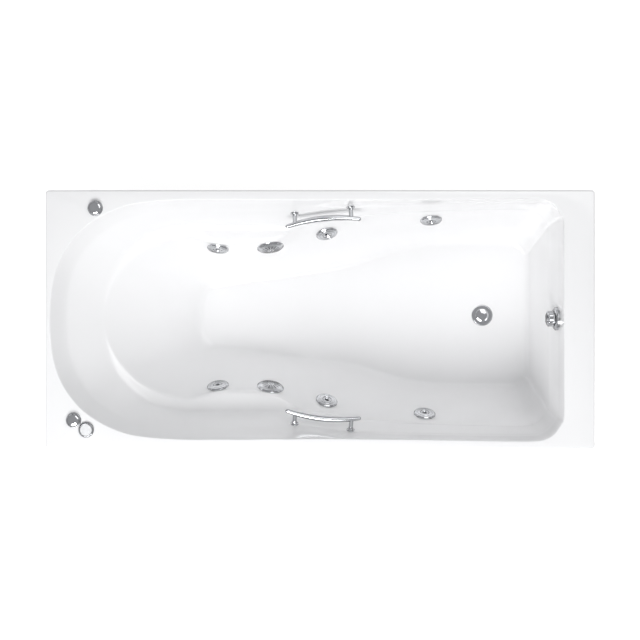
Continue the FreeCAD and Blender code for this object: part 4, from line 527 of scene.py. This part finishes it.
def hiddenSide(form, roundSteps, backSeats):
    # the basin surface moved out along its normals, thicker where the board backs it
    downSteps = np.linspace(*form["hiddenRows"], form["hiddenDown"])
    small = 1e-3
    hidden = basin.grid(downSteps, roundSteps)
    normals = np.cross(basin.grid(downSteps + small, roundSteps) - hidden,
                       basin.grid(downSteps, roundSteps + small) - hidden)
    normals /= np.linalg.norm(normals, axis=-1, keepdims=True)
    normals *= np.sign((normals[..., :2] * hidden[..., :2]).sum(axis=-1))[..., None]
    thick = form["wall"] + (form["backedWall"] - form["wall"]) * smoothShare(downSteps, *form["backedRows"])
    hidden = hidden + normals * thick[:, None, None]
    for seat, radius in backSeats:
        hidden = pressSeat(hidden, seat, radius, -form["seatWall"])
    return hidden, normals[0, :, :2]


def buildTub(form, frontSeats, backSeats, holes):
    count = form["around"]
    roundSteps = np.arange(count) * basin.columns / count
    lastStep = basin.rows - 3
    inside = basin.grid(np.linspace(lastStep, 0, form["down"]), roundSteps)
    opening = inside[-1, :, :2].copy()
    for seat, radius in frontSeats:
        inside = pressSeat(inside, seat, radius, 0)
    hidden, away = hiddenSide(form, roundSteps, backSeats)
    away /= np.linalg.norm(away, axis=1, keepdims=True)
    wall, edge, lip, top = form["wall"], form["rimRound"], form["lip"], form["rimHeight"]
    under, bottom = top - wall, top - form["skirtDrop"]
    bearings = np.arctan2(opening[:, 1] * form["length"], opening[:, 0] * form["width"])
    corners = [int(np.argmin(np.abs(bearings - angle))) for angle in np.radians([135, 45, -45, -135])]

    def level(outline, height):
        return np.column_stack([outline, np.full(count, float(height))])

    shownEdge = []
    for i in range(form["edgeSteps"] + 1):
        angle = math.pi / 2 * i / form["edgeSteps"]
        shownEdge.append((edge * (1 - math.sin(angle)), top - edge * (1 - math.cos(angle))))
    shownEdge += [(0, bottom + lip), (lip * 0.3, bottom + lip * 0.3), (lip, bottom)]
    hiddenEdge = [(wall - lip / 2, bottom), (wall, bottom + lip), (wall, under)]
    rings = list(inside)
    for inset, height in shownEdge + hiddenEdge:
        rings.append(level(rimOutline(form, inset, count, corners), height))
    rings.append(level(opening + away * wall * form["underShare"], under))
    rings += list(hidden)
    last = basin.grid([lastStep], roundSteps)[0, :, :2]
    rings.append(level(last, top - form["basinDepth"] - form["backedWall"]))
    vertices = np.concatenate(rings) * mm
    faces = []
    for start in range(0, (len(rings) - 1) * count, count):
        for i in range(count):
            j = (i + 1) % count
            faces.append((start + i, start + j, start + count + j, start + count + i))
    lastStart = (len(rings) - 1) * count
    faces.append(tuple(reversed(range(count))))
    faces.append(tuple(range(lastStart, lastStart + count)))
    mesh = bpy.data.meshes.new("tub")
    mesh.from_pydata(vertices.tolist(), [], faces)
    shape = bmesh.new()
    shape.from_mesh(mesh)
    bmesh.ops.recalc_face_normals(shape, faces=shape.faces)
    shape.to_mesh(mesh)
    shape.free()
    mesh.materials.append(materials["acrylic"])
    mesh.materials.append(materials["backing"])
    firstHidden = (len(inside) + len(shownEdge)) * count
    for polygon in mesh.polygons:
        polygon.material_index = int(min(polygon.vertices) >= firstHidden)
    return cutHoles(mesh, holes, form["cutterDepth"] * mm, form["cutterSides"])


def evaluatedMesh(holder):
    bpy.context.view_layer.update()
    return bpy.data.meshes.new_from_object(holder.evaluated_get(bpy.context.evaluated_depsgraph_get()))


def cutHoles(mesh, holes, depth, sides):
    cutter = bmesh.new()
    for seat, radius in holes:
        bmesh.ops.create_cone(cutter, cap_ends=True, segments=sides, radius1=radius * mm, radius2=radius * mm,
                              depth=depth, matrix=seatMatrix(Vector(seat[0]) * mm, seat[1]))
    cutterMesh = bpy.data.meshes.new("holeCutter")
    cutter.to_mesh(cutterMesh)
    cutter.free()
    holder, tool = linkedObject("tubBlank", mesh), linkedObject("holeCutter", cutterMesh)
    cut = holder.modifiers.new("holes", "BOOLEAN")
    cut.operation = "DIFFERENCE"
    cut.solver = "EXACT"
    cut.object = tool
    result = evaluatedMesh(holder)
    bpy.data.objects.remove(holder)
    bpy.data.objects.remove(tool)
    return result


# fittings: the width of the flat in front of the wall, of the flat behind it and of the hole through it
fittings = {
    "suctionX": -162, "portDepth": 225, "gripX": (-81, 96), "gripDepth": 90, "drainX": 553,
    "controls": ((-696, 344.5), (-763, -311.5), (-723.5, -341)),
    "front": {"jet": 70, "suction": 87, "grip": 26, "overflow": 73},
    "back": {"jet": 56, "suction": 72, "grip": 26, "overflow": 72},
    "hole": {"jet": 46, "suction": 60, "grip": 8, "overflow": 46, "drain": 46, "control": 24},
    "flatMargin": 1.5, "holeGap": 0.5,
}


def jointSeat(name):
    joint = joints[name]
    return Vector(joint["pos_m"]) / mm, Vector(joint["axis"]).normalized()


def wallSeat(kind, x, depth, side):
    return basin.seat(x, fittings[depth], side, fittings["front"][kind] / 2, tubForm["rimHeight"])


rimHeight, upward = tubForm["rimHeight"], Vector((0, 0, 1))
jetSeats = [jointSeat("jet_%d_flow" % n) for n in range(1, 7)]
overflowSeat = jointSeat("overflow_turn")
suctionSeats = [wallSeat("suction", fittings["suctionX"], "portDepth", side) for side in (1, -1)]
gripSeats = [[wallSeat("grip", x, "gripDepth", side) for x in fittings["gripX"]] for side in (1, -1)]
deckSeats = [(Vector((x, y, rimHeight)), upward) for x, y in fittings["controls"]]
drainSeat = (Vector((fittings["drainX"], 0, rimHeight - tubForm["basinDepth"])), upward)
seatsOf = {"jet": jetSeats, "suction": suctionSeats, "grip": gripSeats[0] + gripSeats[1],
           "overflow": [overflowSeat], "drain": [drainSeat], "control": deckSeats}


def circles(which, margin):
    return [(seat, width / 2 + margin) for kind, width in fittings[which].items() for seat in seatsOf[kind]]


frontSeats = circles("front", fittings["flatMargin"])
backSeats = circles("back", fittings["flatMargin"])
holes = circles("hole", fittings["holeGap"])
tub = buildTub(tubForm, frontSeats, backSeats, holes)
finishPiece("tub", tub, "tub", "tub_shell", 40)
print("tub:", len(tub.polygons), "faces")


def softened(outline, steps=4):
    # an outline of (radius, height) corners; a third value rounds the corner by that radius
    points = []
    for index, corner in enumerate(outline):
        here = Vector(corner[:2])
        if len(corner) < 3:
            points.append(tuple(here))
            continue
        back = Vector(outline[index - 1][:2]) - here
        ahead = Vector(outline[(index + 1) % len(outline)][:2]) - here
        half = back.angle(ahead) / 2
        reach = min(corner[2] / math.tan(half), 0.48 * back.length, 0.48 * ahead.length)
        radius = reach * math.tan(half)
        centre = here + (back.normalized() + ahead.normalized()).normalized() * (radius / math.sin(half))
        first = here + back.normalized() * reach - centre
        last = here + ahead.normalized() * reach - centre
        turn = math.atan2(first.x * last.y - first.y * last.x, first.dot(last))
        for step in range(steps + 1):
            angle = math.atan2(first.y, first.x) + turn * step / steps
            points.append((centre.x + radius * math.cos(angle), centre.y + radius * math.sin(angle)))
    return points


def arcPoints(centre, radius, start, end, steps):
    angles = [math.radians(start + (end - start) * i / steps) for i in range(steps + 1)]
    return [(centre[0] + radius * math.cos(angle), centre[1] + radius * math.sin(angle)) for angle in angles]


def addTurned(shape, outline, steps, reach=None):
    # a closed outline turned about its own axis; reach(angle, radius) scales the radius for lobed forms
    rings = []
    for radius, height in outline:
        if radius < 1e-6:
            rings.append([shape.verts.new((0, 0, height))])
            continue
        ring = []
        for i in range(steps):
            angle = 2 * math.pi * i / steps
            size = radius * (reach(angle, radius) if reach else 1)
            ring.append(shape.verts.new((size * math.cos(angle), size * math.sin(angle), height)))
        rings.append(ring)
    for a, b in zip(rings, rings[1:] + rings[:1]):
        if len(a) == 1 and len(b) == 1:
            continue
        for i in range(steps):
            j = (i + 1) % steps
            corners = [a[i % len(a)], a[j % len(a)], b[j % len(b)], b[i % len(b)]]
            shape.faces.new(list(dict.fromkeys(corners)))


def addBox(shape, size, place):
    bmesh.ops.create_cube(shape, size=1, matrix=place @ Matrix.Diagonal((*size, 1)))


def toMesh(shape, finish, others=()):
    bmesh.ops.recalc_face_normals(shape, faces=shape.faces)
    bmesh.ops.scale(shape, vec=(mm, mm, mm), verts=shape.verts)
    mesh = bpy.data.meshes.new("piece")
    shape.to_mesh(mesh)
    shape.free()
    for item in (finish, *others):
        mesh.materials.append(materials[item])
    return mesh


# node groups: copies round an axis that are cut from a form or joined to it, and a tapered bar
def geometryGroup(name, sockets):
    group = bpy.data.node_groups.new(name, "GeometryNodeTree")
    group.interface.new_socket("Geometry", in_out="INPUT", socket_type="NodeSocketGeometry")
    identifiers = {}
    for label, kind in sockets:
        socket = group.interface.new_socket(label, in_out="INPUT", socket_type="NodeSocket" + kind)
        identifiers[label] = socket.identifier
    group.interface.new_socket("Geometry", in_out="OUTPUT", socket_type="NodeSocketGeometry")
    return group, group.nodes.new("NodeGroupInput").outputs, group.nodes.new("NodeGroupOutput"), identifiers


def aroundAxis(group, given, item):
    # instances of the item on a circle, each turned to face outwards
    ring = addNode(group, "GeometryNodeMeshCircle", {
        "Vertices": given["Count"], "Radius": given["Ring Radius"]})
    turn = maths(group, "DIVIDE", 2 * math.pi, given["Count"])
    angle = maths(group, "MULTIPLY", addNode(group, "GeometryNodeInputIndex").outputs[0], turn)
    facing = addNode(group, "ShaderNodeCombineXYZ", {"Z": angle}).outputs[0]
    raised = addNode(group, "ShaderNodeCombineXYZ", {"Z": given["Height"]}).outputs[0]
    lift = addNode(group, "GeometryNodeTransform", {"Geometry": ring.outputs["Mesh"], "Translation": raised})
    copies = addNode(group, "GeometryNodeInstanceOnPoints", {
        "Points": lift.outputs["Geometry"], "Instance": item, "Rotation": facing})
    real = addNode(group, "GeometryNodeRealizeInstances", {"Geometry": copies.outputs["Instances"]})
    return real.outputs["Geometry"]


def finishGroup(group, given, made, geometry):
    real = addNode(group, "GeometryNodeRealizeInstances", {"Geometry": geometry})
    paint = addNode(group, "GeometryNodeSetMaterial", {
        "Geometry": real.outputs["Geometry"], "Material": given["Material"]})
    group.links.new(paint.outputs["Geometry"], made.inputs["Geometry"])


barForm = {"alongSteps": 240, "aroundSteps": 48, "swellPower": 1.7, "leastTip": 0.0004}
fluteSides = 24
ringSockets = [("Count", "Int"), ("Ring Radius", "Float"), ("Height", "Float"), ("Size", "Vector"),
               ("Material", "Material")]


def cutRound(name, roundTool, crossing=False):
    # slots or flutes cut from the incoming form; crossing where the cutters run through each other
    group, given, made, identifiers = geometryGroup(name, ringSockets)
    if roundTool:
        size = addNode(group, "ShaderNodeSeparateXYZ", {0: given["Size"]}).outputs
        tool = addNode(group, "GeometryNodeMeshCylinder", {
            "Vertices": fluteSides, "Radius": size["X"], "Depth": size["Z"]})
    else:
        tool = addNode(group, "GeometryNodeMeshCube", {"Size": given["Size"]})
    cut = addNode(group, "GeometryNodeMeshBoolean", {
        "Mesh 1": given["Geometry"], "Mesh 2": aroundAxis(group, given, tool.outputs["Mesh"]),
        "Self Intersection": crossing}, operation="DIFFERENCE", solver="EXACT")
    finishGroup(group, given, made, cut.outputs["Mesh"])
    return group, identifiers


def joinRound(name):
    # ribs joined to the incoming form
    group, given, made, identifiers = geometryGroup(name, ringSockets)
    rib = addNode(group, "GeometryNodeMeshCube", {"Size": given["Size"]})
    both = addNode(group, "GeometryNodeJoinGeometry", {"Geometry": given["Geometry"]})
    group.links.new(aroundAxis(group, given, rib.outputs["Mesh"]), both.inputs["Geometry"])
    finishGroup(group, given, made, both.outputs["Geometry"])
    return group, identifiers


def taperedBar():
    # a bar along an arc through three points, swollen in the middle and rounded off at its tips
    group, given, made, identifiers = geometryGroup("taperedBar", [
        ("Start", "Vector"), ("Middle", "Vector"), ("End", "Vector"), ("End Radius", "Float"),
        ("Swell", "Float"), ("Tip Share", "Float"), ("Material", "Material")])

    def calc(operation, *values):
        return maths(group, operation, *values)

    ends = {label: given[label] for label in ("Start", "Middle", "End")}
    arc = addNode(group, "GeometryNodeCurveArc", {"Resolution": barForm["alongSteps"], **ends}, mode="POINTS")
    along = addNode(group, "GeometryNodeSplineParameter").outputs["Factor"]
    fromMiddle = calc("ABSOLUTE", calc("SUBTRACT", calc("MULTIPLY", along, 2.0), 1.0))
    bell = calc("SUBTRACT", 1.0, calc("POWER", fromMiddle, barForm["swellPower"]))
    plain = calc("ADD", given["End Radius"], calc("MULTIPLY", bell, given["Swell"]))
    fromTip = calc("DIVIDE", calc("SUBTRACT", 1.0, fromMiddle), given["Tip Share"])
    left = calc("SUBTRACT", 1.0, calc("MINIMUM", fromTip, 1.0))
    domeSquared = calc("SUBTRACT", 1.0, calc("MULTIPLY", left, left))
    dome = calc("SQRT", calc("MAXIMUM", domeSquared, barForm["leastTip"]))
    sized = addNode(group, "GeometryNodeSetCurveRadius", {
        "Curve": arc.outputs["Curve"], "Radius": calc("MULTIPLY", plain, dome)})
    section = addNode(group, "GeometryNodeCurvePrimitiveCircle", {
        "Resolution": barForm["aroundSteps"], "Radius": 1.0})
    skin = addNode(group, "GeometryNodeCurveToMesh", {
        "Curve": sized.outputs["Curve"], "Profile Curve": section.outputs["Curve"],
        "Scale": addNode(group, "GeometryNodeInputRadius").outputs[0], "Fill Caps": True})
    both = addNode(group, "GeometryNodeJoinGeometry", {"Geometry": skin.outputs["Mesh"]})
    group.links.new(given["Geometry"], both.inputs["Geometry"])
    finishGroup(group, given, made, both.outputs["Geometry"])
    return group, identifiers


def grown(mesh, pair, values):
    # the mesh after a node group with the given inputs, as a plain mesh
    group, identifiers = pair
    holder = linkedObject("blank", mesh)
    modifier = holder.modifiers.new("grow", "NODES")
    modifier.node_group = group
    for label, value in values.items():
        modifier[identifiers[label]] = value
    holder.update_tag()
    result = evaluatedMesh(holder)
    bpy.data.objects.remove(holder)
    return result


def moved(mesh, place):
    # from its own axis in metres to its seat, given in millimetres
    mesh.transform(Matrix.Translation(place.translation * mm) @ place.to_3x3().to_4x4())
    return mesh


def joinedMesh(meshes):
    shape = bmesh.new()
    slots = []
    for mesh in meshes:
        start = len(shape.faces)
        shape.from_mesh(mesh)
        shape.faces.ensure_lookup_table()
        for face in list(shape.faces)[start:]:
            material = mesh.materials[face.material_index]
            if material not in slots:
                slots.append(material)
            face.material_index = slots.index(material)
    bmesh.ops.remove_doubles(shape, verts=shape.verts, dist=1e-6)
    bmesh.ops.recalc_face_normals(shape, faces=shape.faces)
    result = bpy.data.meshes.new("piece")
    shape.to_mesh(result)
    shape.free()
    for material in slots:
        result.materials.append(material)
    return result


def settled(shape, finish, place, paintedBoreShadeRadius=0):
    # a form made about its own axis, moved to its seat; faces nearer the axis than the given radius get the black
    # finish, painted shade for the dark inside of a bore
    for face in shape.faces:
        if max(math.hypot(corner.co.x, corner.co.y) for corner in face.verts) < paintedBoreShadeRadius:
            face.material_index = 1
    return moved(toMesh(shape, finish, ("pump_plastic",) if paintedBoreShadeRadius else ()), place)


slotsRound = cutRound("slotsRound", False)
recessRound = cutRound("recessRound", False, True)
flutesRound = cutRound("flutesRound", True)
ribsRound = joinRound("ribsRound")
barGroup = taperedBar()
bodies = frame["record"]["behaviour"]["bodies"]
bodyOfNode = {node: body for body, members in bodies.items() for node in members}


def addPiece(node, mesh, sharpAngle=35):
    # named after the node it stands for
    first, *others = node.split("_")
    name = first + "".join(word.capitalize() for word in others)
    finishPiece(name, mesh, bodyOfNode[node], node, sharpAngle)


def turned(outline, steps, rounding=4, reach=None):
    shape = bmesh.new()
    addTurned(shape, softened(outline, rounding), steps, reach)
    return shape


def grownAt(place, shape, finish, pair, values):
    # a form after a node group, moved to its seat
    return moved(grown(toMesh(shape, finish), pair, {**values, "Material": materials[finish]}), place)


# pieces in millimetres, heights above their seats; the node groups' values are in metres
# jets: a face ring with a shallow groove, and a ball whose bore is painted black as painted shade for its dark
# inside
jetForm = {
    "ring": ((13.76, 7.2, 0.6), (15.76, 9, 0.8), (23.4, 8.3, 0.4), (24.1, 7.5, 0.3), (25.7, 7.3, 0.3),
             (26.4, 7.9, 0.4), (32, 7.3, 2.5), (35, 4.2, 1.4), (35, 0.3, 0.3), (31.3, 0.3), (31.3, 3.3),
             (19.95, 3.3), (19.95, -12.2), (13.76, -12.2), (13.76, -11.2), (16.4, -5.04), (16.4, 1.04)),
    "ballCentre": -2, "ballRadius": 16, "ballTop": 36.87, "ballSteps": 20,
    "bore": 6, "boreTop": 4.6, "lip": (9, 7.6, 0.6),
}
ballLow = jetForm["ballCentre"] - jetForm["ballRadius"] * math.sin(math.radians(jetForm["ballTop"]))
ballArc = arcPoints((0, jetForm["ballCentre"]), jetForm["ballRadius"], jetForm["ballTop"], -jetForm["ballTop"],
                    jetForm["ballSteps"])
bore = jetForm["bore"]
nozzleOutline = [(bore, jetForm["boreTop"], 0.4), jetForm["lip"], *ballArc, (bore, ballLow)]
for number, seat in enumerate(jetSeats, start=1):
    for node, outline, steps, paintedBoreShadeRadius in (("jet_ring_%d", jetForm["ring"], 96, 0),
                                       ("jet_nozzle_%d", nozzleOutline, 64, bore + 0.1)):
        addPiece(node % number, settled(turned(outline, steps), "chrome", seatMatrix(*seat), paintedBoreShadeRadius))
print("jets done")

# suction covers: domes with slots cut round their screw
suctionForm = {
    "cover": ((2.6, 14, 0.3), (19.6, 12.4, 20), (37.4, 7.5, 12), (43.5, 2, 1.5), (43.5, 0), (39.3, 0),
              (39.3, 3), (30, 3), (2.6, 10)),
    "slots": {"Count": 14, "Ring Radius": 0.020, "Height": 0.009, "Size": (0.018, 0.003, 0.03)},
    "screw": ((0, 16.5), (2.2, 16.45), (3.7, 16.1), (5, 14.7, 0.3), (5, 14), (2.5, 14), (2.5, -14), (0, -14)),
    "recess": {"Count": 4, "Ring Radius": 0.0015, "Height": 0.016, "Size": (0.0034, 0.0011, 0.003)},
}
screws = []
for name, seat in zip(("left", "right"), suctionSeats):
    place = seatMatrix(*seat)
    cover, screw = turned(suctionForm["cover"], steps=112, rounding=8), turned(suctionForm["screw"], steps=32)
    addPiece("suction_cover_" + name, grownAt(place, cover, "chrome", slotsRound, suctionForm["slots"]))
    screws.append(grownAt(place, screw, "chrome", recessRound, suctionForm["recess"]))
addPiece("suction_screws", joinedMesh(screws))
print("suction covers done:", len(screws[0].polygons), "faces on a screw")

# drain and overflow
drainForm = {
    "flange": ((20, 0.8, 0.4), (22, 2.6, 0.6), (33, 2.6, 1.5), (36, 0), (23, 0), (23, -38), (20, -38)),
    "spokeSize": (15, 5, 5), "spokePlace": (13.5, 0, -19.5),
    "hub": ((4.05, -22), (7, -22), (7, -13), (4.05, -13)),
    "plug": ((0, 7.6), (8.1, 7.4, 8), (16.3, 6.5, 12), (21.75, 5, 3), (23.25, 3.4, 0.5), (23.25, 2.9),
             (18, 2.9), (18, 0), (4, -2), (4, -36), (0, -36)),
    "rosette": ((4.05, 13), (18.25, 13, 4), (27.4, 12.1, 10), (33.5, 10, 4), (36.5, 7, 1.5), (36.5, 0),
                (33.5, 0), (33.5, 6.5), (10, 9), (10, -3), (4.05, -3)),
    "notches": {"Count": 10, "Ring Radius": 0.0345, "Height": 0.0015, "Size": (0.008, 0.007, 0.005)},
    "knob": ((0, 34.3), (19.9, 34.3, 1.2), (24.6, 31.2, 3.0), (24.6, 13.3, 0.8), (4, 13.3), (4, -26.7),
             (0, -26.7)),
    "knobLobes": 6, "knobSwing": 0.063, "lobesFrom": 6, "lobesFullAfter": 12,
}


def lobed(angle, radius):
    # six soft lobes, fading out towards the knob's spindle
    share = min(max((radius - drainForm["lobesFrom"]) / drainForm["lobesFullAfter"], 0), 1)
    return 1 - drainForm["knobSwing"] * share * (1 + math.cos(drainForm["knobLobes"] * angle))


drainPlace, overflowPlace = seatMatrix(*drainSeat), seatMatrix(*overflowSeat)
shape = turned(drainForm["flange"], steps=96)
for side in (1, -1):
    spokeX, spokeY, spokeZ = drainForm["spokePlace"]
    addBox(shape, drainForm["spokeSize"], Matrix.Translation(Vector((side * spokeX, spokeY, spokeZ))))
addTurned(shape, drainForm["hub"], steps=48)
addPiece("drain_flange", settled(shape, "chrome", drainPlace))
addPiece("drain_plug", settled(turned(drainForm["plug"], steps=96, rounding=8), "chrome", drainPlace))
rosette = turned(drainForm["rosette"], steps=96, rounding=8)
rosette = grownAt(overflowPlace, rosette, "chrome", slotsRound, drainForm["notches"])
addPiece("overflow_rosette", rosette)
knob = turned(drainForm["knob"], steps=144, rounding=6, reach=lobed)
addPiece("overflow_knob", settled(knob, "chrome", overflowPlace))
print("drain and overflow done")

# grips: a tapered bar bowed towards the wall, on two posts with flared feet
gripForm = {
    "reach": 38, "bow": 8, "over": 26, "tipOver": 0.022, "endRadius": 6, "swell": 3.5, "tipShare": 0.05,
    "post": ((0, -17), (4, -17, 0.5), (4, 0), (13, 0, 0.2), (13, 2.0, 1.0), (8.6, 4.6, 3.5), (6.6, 13, 8),
             (6.5, 37.5), (0, 37.5)),
    "sharpAngle": 50,
}


def barEnds(near, middle, far):
    # the ends of the arc through three points, carried on beyond the outer two
    chord = far - near
    across = middle - (near + far) / 2
    radius = (chord.length ** 2 / 4 + across.length ** 2) / (2 * across.length)
    half = math.asin(chord.length / 2 / radius) + gripForm["over"] / radius
    half *= 1 + 2 * gripForm["tipOver"]
    centre = middle - across.normalized() * radius
    top = centre + across.normalized() * radius * math.cos(half)
    return [top + chord.normalized() * radius * math.sin(turn) for turn in (-half, half)]


for name, pair in zip(("left", "right"), gripSeats):
    near, far = [centre + inward * gripForm["reach"] for centre, inward in pair]
    wallward = -(pair[0][1] + pair[1][1])
    wallward.z = 0
    middle = (near + far) / 2 + wallward.normalized() * gripForm["bow"]
    start, end = barEnds(near, middle, far)
    parts = [grown(bpy.data.meshes.new("gripBlank"), barGroup, {
        "Start": tuple(start * mm), "Middle": tuple(middle * mm), "End": tuple(end * mm),
        "End Radius": gripForm["endRadius"] * mm, "Swell": gripForm["swell"] * mm,
        "Tip Share": gripForm["tipShare"], "Material": materials["chrome"]})]
    for seat in pair:
        post = turned(gripForm["post"], steps=48, rounding=6)
        parts.append(settled(post, "chrome", seatMatrix(*seat)))
    addPiece("grip_bar_" + name, joinedMesh(parts), gripForm["sharpAngle"])
print("grips done")

# deck controls: two fluted air caps and a push button
deckForm = {
    "airBody": ((4.05, 4), (22, 4, 1.2), (24, 1.5, 0.8), (24, 0), (12, 0), (12, -70), (7.45, -70), (7.45, -84),
                (4.05, -84)),
    "airCap": ((0, 17), (9, 16.9, 6), (15, 16.1, 5), (18.6, 14.4, 3), (20, 12, 2), (20, 4.3), (4, 4.3),
               (4, -20), (0, -20)),
    "flutes": {"Count": 8, "Ring Radius": 0.023, "Height": 0.012, "Size": (0.0045, 0, 0.024)},
    "startBody": ((4.05, 1), (18.3, 1), (18.3, 8, 0.4), (21, 8, 1.2), (24, 5, 1.5), (24, 0), (12, 0), (12, -46),
                  (3, -46), (3, -54), (0, -54), (0, -30), (4.05, -30)),
    "startButton": ((0, 9), (11.16, 9, 0.4), (11.88, 8.4, 0.4), (16.8, 8.8, 1), (18, 8, 0.5), (18, 5.3),
                    (4, 5.3), (4, -22), (0, -22)),
}
airBodies = []
for name, seat in zip(("left", "right"), deckSeats):
    place = seatMatrix(*seat)
    airBodies.append(settled(turned(deckForm["airBody"], steps=64), "chrome", place))
    cap = turned(deckForm["airCap"], steps=96, rounding=6)
    addPiece("air_knob_" + name, grownAt(place, cap, "chrome", flutesRound, deckForm["flutes"]))
addPiece("air_control_bodies", joinedMesh(airBodies))
for node, outline in (("start_body", deckForm["startBody"]), ("start_button", deckForm["startButton"])):
    addPiece(node, settled(turned(outline, steps=72), nodeSlots[node], seatMatrix(*deckSeats[2])))
print("deck controls done")

# pump motor: ribbed barrel, and vents in its fan cowl
motorForm = {
    "axis": ((-700, 0, 215), (0, 1, 0)), "paint": "pump_paint",
    "outline": ((0, -132), (55, -132, 4), (63, -124, 3), (63, -86, 1), (59, -84), (59, 28), (63, 30, 1),
                (63, 58, 1), (7, 58), (7, -102), (0, -102)),
    "vents": {"Count": 16, "Ring Radius": 0.034, "Height": -0.132, "Size": (0.026, 0.005, 0.008)},
    "ribs": {"Count": 36, "Ring Radius": 0.0603, "Height": -0.028, "Size": (0.0050, 0.0024, 0.111)},
}
paint = motorForm["paint"]
motor = toMesh(turned(motorForm["outline"], steps=108), paint)
for pair, values in ((slotsRound, motorForm["vents"]), (ribsRound, motorForm["ribs"])):
    motor = grown(motor, pair, {**values, "Material": materials[paint]})
addPiece("pump_motor", moved(motor, seatMatrix(*motorForm["axis"])))
print("motor done")


def smoothedCopy(node):
    # the solid's form, welded and smoothed in a copy that stands for it
    shape = bmesh.new()
    shape.from_mesh(nodes[node].data)
    bmesh.ops.remove_doubles(shape, verts=shape.verts, dist=2e-6)
    bmesh.ops.recalc_face_normals(shape, faces=shape.faces)
    mesh = bpy.data.meshes.new(node)
    shape.to_mesh(mesh)
    shape.free()
    mesh.materials.append(nodes[node].data.materials[0])
    addPiece(node, mesh, 28)


# every node not replaced so far keeps its solid's form
for node in sorted(nodes):
    if not nodes[node].hide_render:
        smoothedCopy(node)
print("smoothed copies done")
